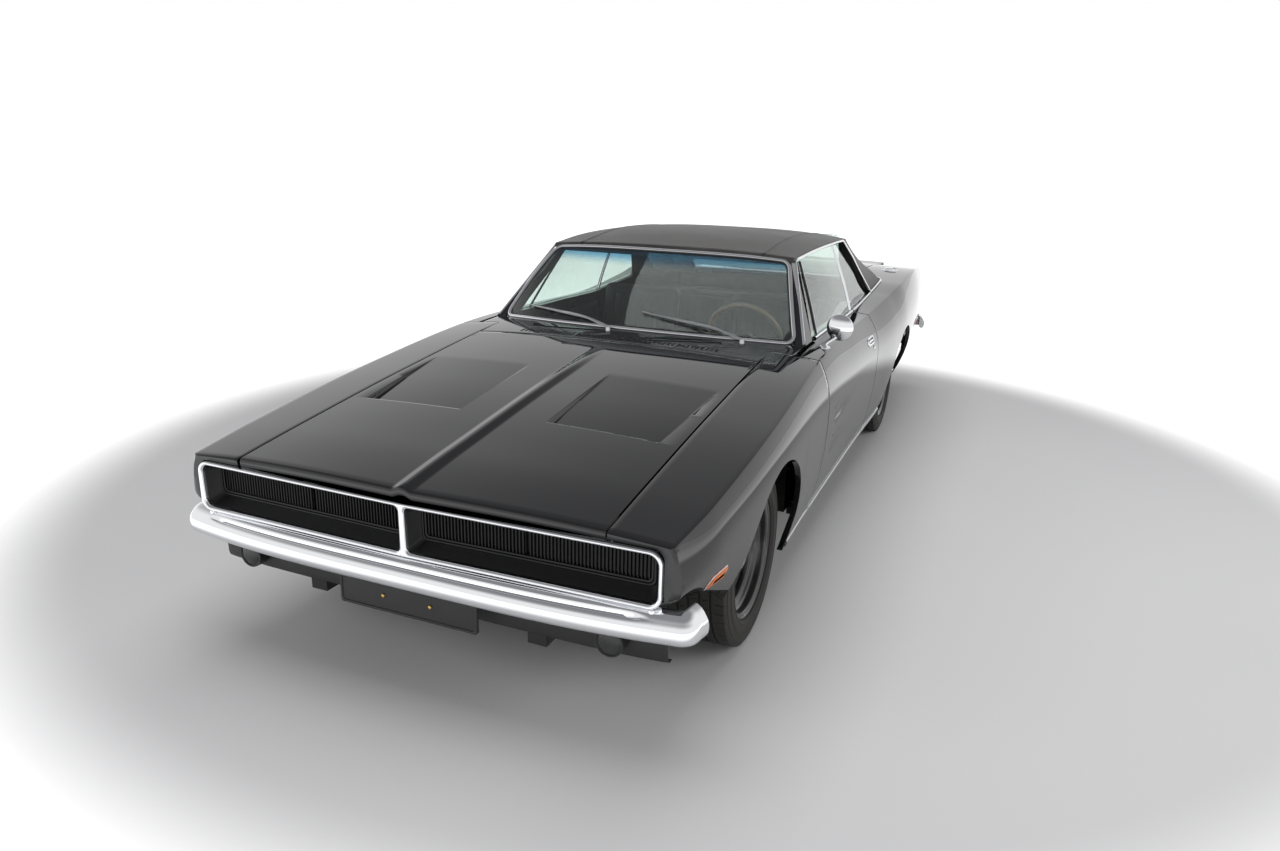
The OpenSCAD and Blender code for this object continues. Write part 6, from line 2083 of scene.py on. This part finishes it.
fit(
    pressed("firewall_upper", -0.62, 0.62, 0.562, wall_top, firewall_y, undercoat, 9), "underbody",
    "cowl_panel", thickness=0.003)
fit(
    pressed("firewall_middle", -floor_half, floor_half, tunnel_z + 0.002, 0.562, firewall_y, undercoat, 11),
    "underbody", thickness=0.003)
for side, name in sides:
    low, high = (0.152, floor_half) if side > 0 else (-floor_half, -0.152)
    fit(
        pressed(f"firewall_lower_{name}", low, high, 0.23, tunnel_z + 0.002, firewall_y, undercoat, 5),
        "underbody", thickness=0.003)
    hinge_z = top_z(hood_rear_y - 0.05, hood_half - 0.05) - 0.0266
    arm = [
        (hood_rear_y - 0.048, hinge_z), (hood_rear_y - 0.048, hinge_z - 0.012),
        (hood_rear_y + 0.02, hinge_z - 0.038), (firewall_y - 0.002, hinge_z - 0.038),
        (firewall_y - 0.002, hinge_z - 0.006), (hood_rear_y + 0.01, hinge_z)]
    fit(
        bar(f"hood_hinge_{name}", arm, (hood_half - 0.088, hood_half - 0.052), undercoat, side),
        "underbody", bevel=0.002)
    hinge_z = top_z(deck_front_y, pillar_in_x - 0.08) - 0.0186
    arm = [
        (deck_front_y - gap - 0.008, hinge_z - 0.004), (deck_front_y - gap - 0.008, hinge_z - 0.028),
        (deck_front_y + 0.03, hinge_z - 0.028), (deck_front_y + 0.048, hinge_z - 0.012),
        (deck_front_y + 0.048, hinge_z), (deck_front_y - gap, hinge_z)]
    fit(
        bar(f"deck_hinge_{name}", arm, (pillar_in_x - 0.118, pillar_in_x - 0.082), undercoat, side),
        "underbody", bevel=0.002)
shelf_half = pillar_in_x - 0.023
board = Finish("shelf_board", uneven=(50.0, 0.8, 0.1), base_color=(0.014, 0.014, 0.015), roughness=0.85)
board.bump(board.cells(160.0).ramp(0.1, 0.3), distance=0.001)
shelf_rear_y = backlight_low_y - 0.036
shelf_rows = [
    [(x, y, 0.8625) for x in steps(-shelf_half, shelf_half, 30)]
    for y in steps(kick_y + 0.13, shelf_rear_y, 12)]
fit(panel("parcel_shelf", shelf_rows, board), "interior_plastic", "rear_deck_panel", thickness=0.01)
for name, low_z, high_z, y in (
    ("rear_bulkhead", trunk_floor_z + 0.002, 0.852, kick_y + 0.136),
    ("shelf_rear_wall", 0.852, 0.958, shelf_rear_y)):
    fit(pressed(name, -shelf_half, shelf_half, low_z, high_z, y, undercoat, 8), "underbody", thickness=0.003)
for side, name in sides:
    for end, y0, y1, z0, z1 in (
        ("front", front_y + 0.034, nose_y + 0.04, 0.464, 0.494),
        ("rear", tail_y + 0.001, rear_y - 0.034, 0.517, 0.553)):
        arm = [(y0, z0), (y1, z0), (y1, z1), (y0, z1)]
        fit(bar(f"{end}_bumper_bracket_{name}", arm, (0.382, 0.438), undercoat, side), "chassis", bevel=0.003)
    spot = next(p for p in front_plan if p[0] > 0.8)
    fit(
        turned(
            f"bumper_bolt_{name}", mm((10.5, -6), (10.5, 1), (9.5, 3), (6.5, 4.8), (0.5, 5.5)),
            (spot[0] - 0.004, front_y + spot[1] + 0.034, bumper_z + 0.0425), chrome, axis="z", side=side,
            points=28),
        "chrome")


# Engine. A cast iron V8 with black pressed rocker covers, a chromed air cleaner, a belt
# drive and a fan ahead of it, and a finned radiator behind the grille.
iron = Finish("engine_iron", base_color=(0.055, 0.056, 0.058), metallic=0.5, roughness=0.55)
cast = iron.noise(40.0, detail=4.0)
iron.wear({
    "Roughness": cast * 0.3 + 0.42,
    "Base Color": iron.blend(cast, (0.035, 0.036, 0.038), (0.08, 0.079, 0.077))})
iron.bump(iron.noise(300.0), distance=0.0005)
engine_front, engine_rear = front_axle_y - 0.12, front_axle_y + 0.555
vee = mm(
    (0, 302), (120, 304), (130, 320), (130, 410), (170, 425), (180, 480), (250, 560), (252, 580),
    (170, 655), (150, 655), (60, 600), (0, 598))
engine_outline = vee + [(-x, z) for x, z in vee[-2:0:-1]]
fit(
    shell(
        "engine_casting",
        [
            [(x * s, y, z) for x, z in engine_outline[::-1]]
            for y, s in (
                (engine_front, 0.96), (engine_front + 0.02, 1.0), (engine_rear - 0.02, 1.0),
                (engine_rear, 0.96))],
        iron),
    "engine_iron", "engine_block", bevel=0.006)
for side, name in sides:
    lid = mm((172, 652), (150, 668), (156, 694), (172, 704), (222, 662), (248, 640), (256, 618), (250, 584))
    outlines = []
    for y, s in (
        (engine_front + 0.06, 0.55), (engine_front + 0.064, 0.9), (engine_front + 0.08, 1.0),
        (engine_rear - 0.1, 1.0), (engine_rear - 0.084, 0.9), (engine_rear - 0.08, 0.55)):
        outlines.append([(0.205 + (x - 0.205) * s, y, 0.64 + (z - 0.64) * s) for x, z in lid])
    fit(shell(f"rocker_cover_{name}", outlines, wheel_black, side), "engine_iron", bevel=0.004)
    for k in range(4):
        y = engine_front + 0.12 + k * 0.13
        fit(
            tube(
                f"manifold_runner_{name}_{k + 1}",
                [
                    (0.225, y, 0.56), (0.25, y + 0.005, 0.52), (0.246, y + 0.02, 0.465),
                    (0.225, y + 0.03, 0.43)],
                0.02, iron, side, up=(0.0, 1.0, 0.0), points=14),
            "engine_iron")
cleaner_at = (0.0, front_axle_y + 0.2, 0.69)
fit(
    turned(
        "air_cleaner_base", mm((0.5, -75), (70, -75), (70, 0), (165, 4), (172, 10), (172, 48), (0.5, 50)),
        cleaner_at, wheel_black, axis="z", points=64),
    "engine_iron")
lid_line = mm(
    (176, 44), (189, 46), (190, 54), (186, 58), (160, 62), (150, 68), (60, 71), (50, 67), (20, 66),
    (14, 74), (8, 82), (0.5, 83))
fit(turned("air_cleaner_lid", lid_line, cleaner_at, chrome, axis="z", points=64), "chrome")
for k, (x, z, r) in enumerate(((0.0, 0.42, 0.08), (0.0, 0.56, 0.065), (0.15, 0.6, 0.042))):
    groove = [
        (0.0005, -0.028), (r * 0.5, -0.028), (r * 0.55, -0.02), (r, -0.02), (r, -0.014), (r - 0.01, -0.009),
        (r, -0.004), (r, 0.004), (r * 0.5, 0.006), (r * 0.4, 0.028), (0.0005, 0.028)]
    fit(turned(f"belt_pulley_{k + 1}", groove, (x, engine_front - 0.012, z), iron, points=40), "engine_iron")
fan = []
fan_faces = []
for k in range(6):
    a = 2 * math.pi * k / 6
    base = len(fan)
    for y in (0.0, 0.0022):
        for r, w, twist in (
            (0.03, 0.018, 0.006), (0.08, 0.034, 0.014), (0.17, 0.046, 0.016), (0.185, 0.036, 0.012)):
            for s in (-1, 1):
                t = s * w
                fan.append((
                    r * math.cos(a) - t * math.sin(a), engine_front - 0.052 + y + s * twist,
                    0.56 + r * math.sin(a) + t * math.cos(a)))
    for i in range(3):
        p = base + 2 * i
        fan_faces += [
            (p, p + 2, p + 3, p + 1), (p + 8, p + 9, p + 11, p + 10), (p, p + 8, p + 10, p + 2),
            (p + 1, p + 3, p + 11, p + 9)]
    fan_faces += [(base, base + 1, base + 9, base + 8), (base + 6, base + 14, base + 15, base + 7)]
fit(stand("engine_fan", fan, fan_faces, satin), "engine_iron", crease=40)
core_y = nose_y + 0.202
core_rows = []
for z in steps(0.33, 0.66, 24):
    core_rows.append([
        (x, core_y + 0.003 + 0.003 * (i % 2), z) for i, x in enumerate(steps(-0.37, 0.37, 180))])
fit(panel("radiator_core", core_rows[::-1], iron), "engine_iron")
tank = [
    (core_y - 0.05, 0.662), (core_y - 0.056, 0.668), (core_y - 0.05, 0.716), (core_y - 0.03, 0.722),
    (core_y, 0.722), (core_y + 0.014, 0.716), (core_y + 0.018, 0.668), (core_y + 0.012, 0.662)]
fit(bar("radiator_tank", tank, steps(-0.37, 0.37, 4), wheel_black), "engine_iron", bevel=0.003)
hose = [
    (0.12, engine_front - 0.01, 0.64), (0.15, engine_front - 0.06, 0.668), (0.19, engine_front - 0.2, 0.69),
    (0.2, core_y + 0.06, 0.7), (0.2, core_y + 0.01, 0.698)]
fit(tube("radiator_hose", hose, 0.021, rubber, points=16), "tyre_rubber")


# Running gear. Black chassis paint on the axles, arms and brakes, iron on the gearbox,
# zinc-coated steel on the tank, and heat-tinted steel pipes that end in chromed tips.
chassis_black = Finish("chassis_black", base_color=(0.018, 0.018, 0.019), roughness=0.52)
road = chassis_black.noise(14.0, detail=4.0)
chassis_black.wear({
    "Roughness": road * 0.3 + 0.4,
    "Base Color": chassis_black.blend(road, (0.012, 0.012, 0.013), (0.03, 0.028, 0.026))})
pipe_steel = Finish("pipe_steel", base_color=(0.3, 0.27, 0.24), metallic=0.9, roughness=0.45)
heat = pipe_steel.noise(5.0, detail=4.0)
pipe_steel.wear({
    "Base Color": pipe_steel.blend(heat.ramp(0.3, 0.7), (0.2, 0.17, 0.14), (0.36, 0.34, 0.32)),
    "Roughness": heat * 0.3 + 0.34})
tank_steel = Finish("tank_steel", base_color=(0.28, 0.29, 0.3), metallic=0.8, roughness=0.48)
zinc = tank_steel.cells(30.0)
tank_steel.wear({
    "Base Color": tank_steel.blend(zinc, (0.24, 0.25, 0.26), (0.34, 0.345, 0.35)),
    "Roughness": zinc * 0.15 + 0.42})
for finish, nodes in (
    (undercoat, ("floor_pan", "inner_fenders")), (paint, ("windshield_frame",)),
    (chassis_black, ("front_suspension", "rear_axle", "knuckle_left", "knuckle_right")),
    (iron, ("driveshaft",)), (pipe_steel, ("exhaust",)), (tank_steel, ("fuel_tank",))):
    for node in nodes:
        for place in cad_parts[node].material_slots:
            place.material = finish.material
for side, name in sides:
    tip = mm(
        (25.5, -90), (30, -86), (31, -70), (31, 12), (30.2, 14.5), (28.5, 14.5), (27.8, 12), (27.8, -30),
        (0.5, -30))
    fit(
        turned(f"exhaust_tip_{name}", tip, (0.32, rear_y - 0.062, 0.3), chrome, side=side, points=40),
        "exhaust_steel")
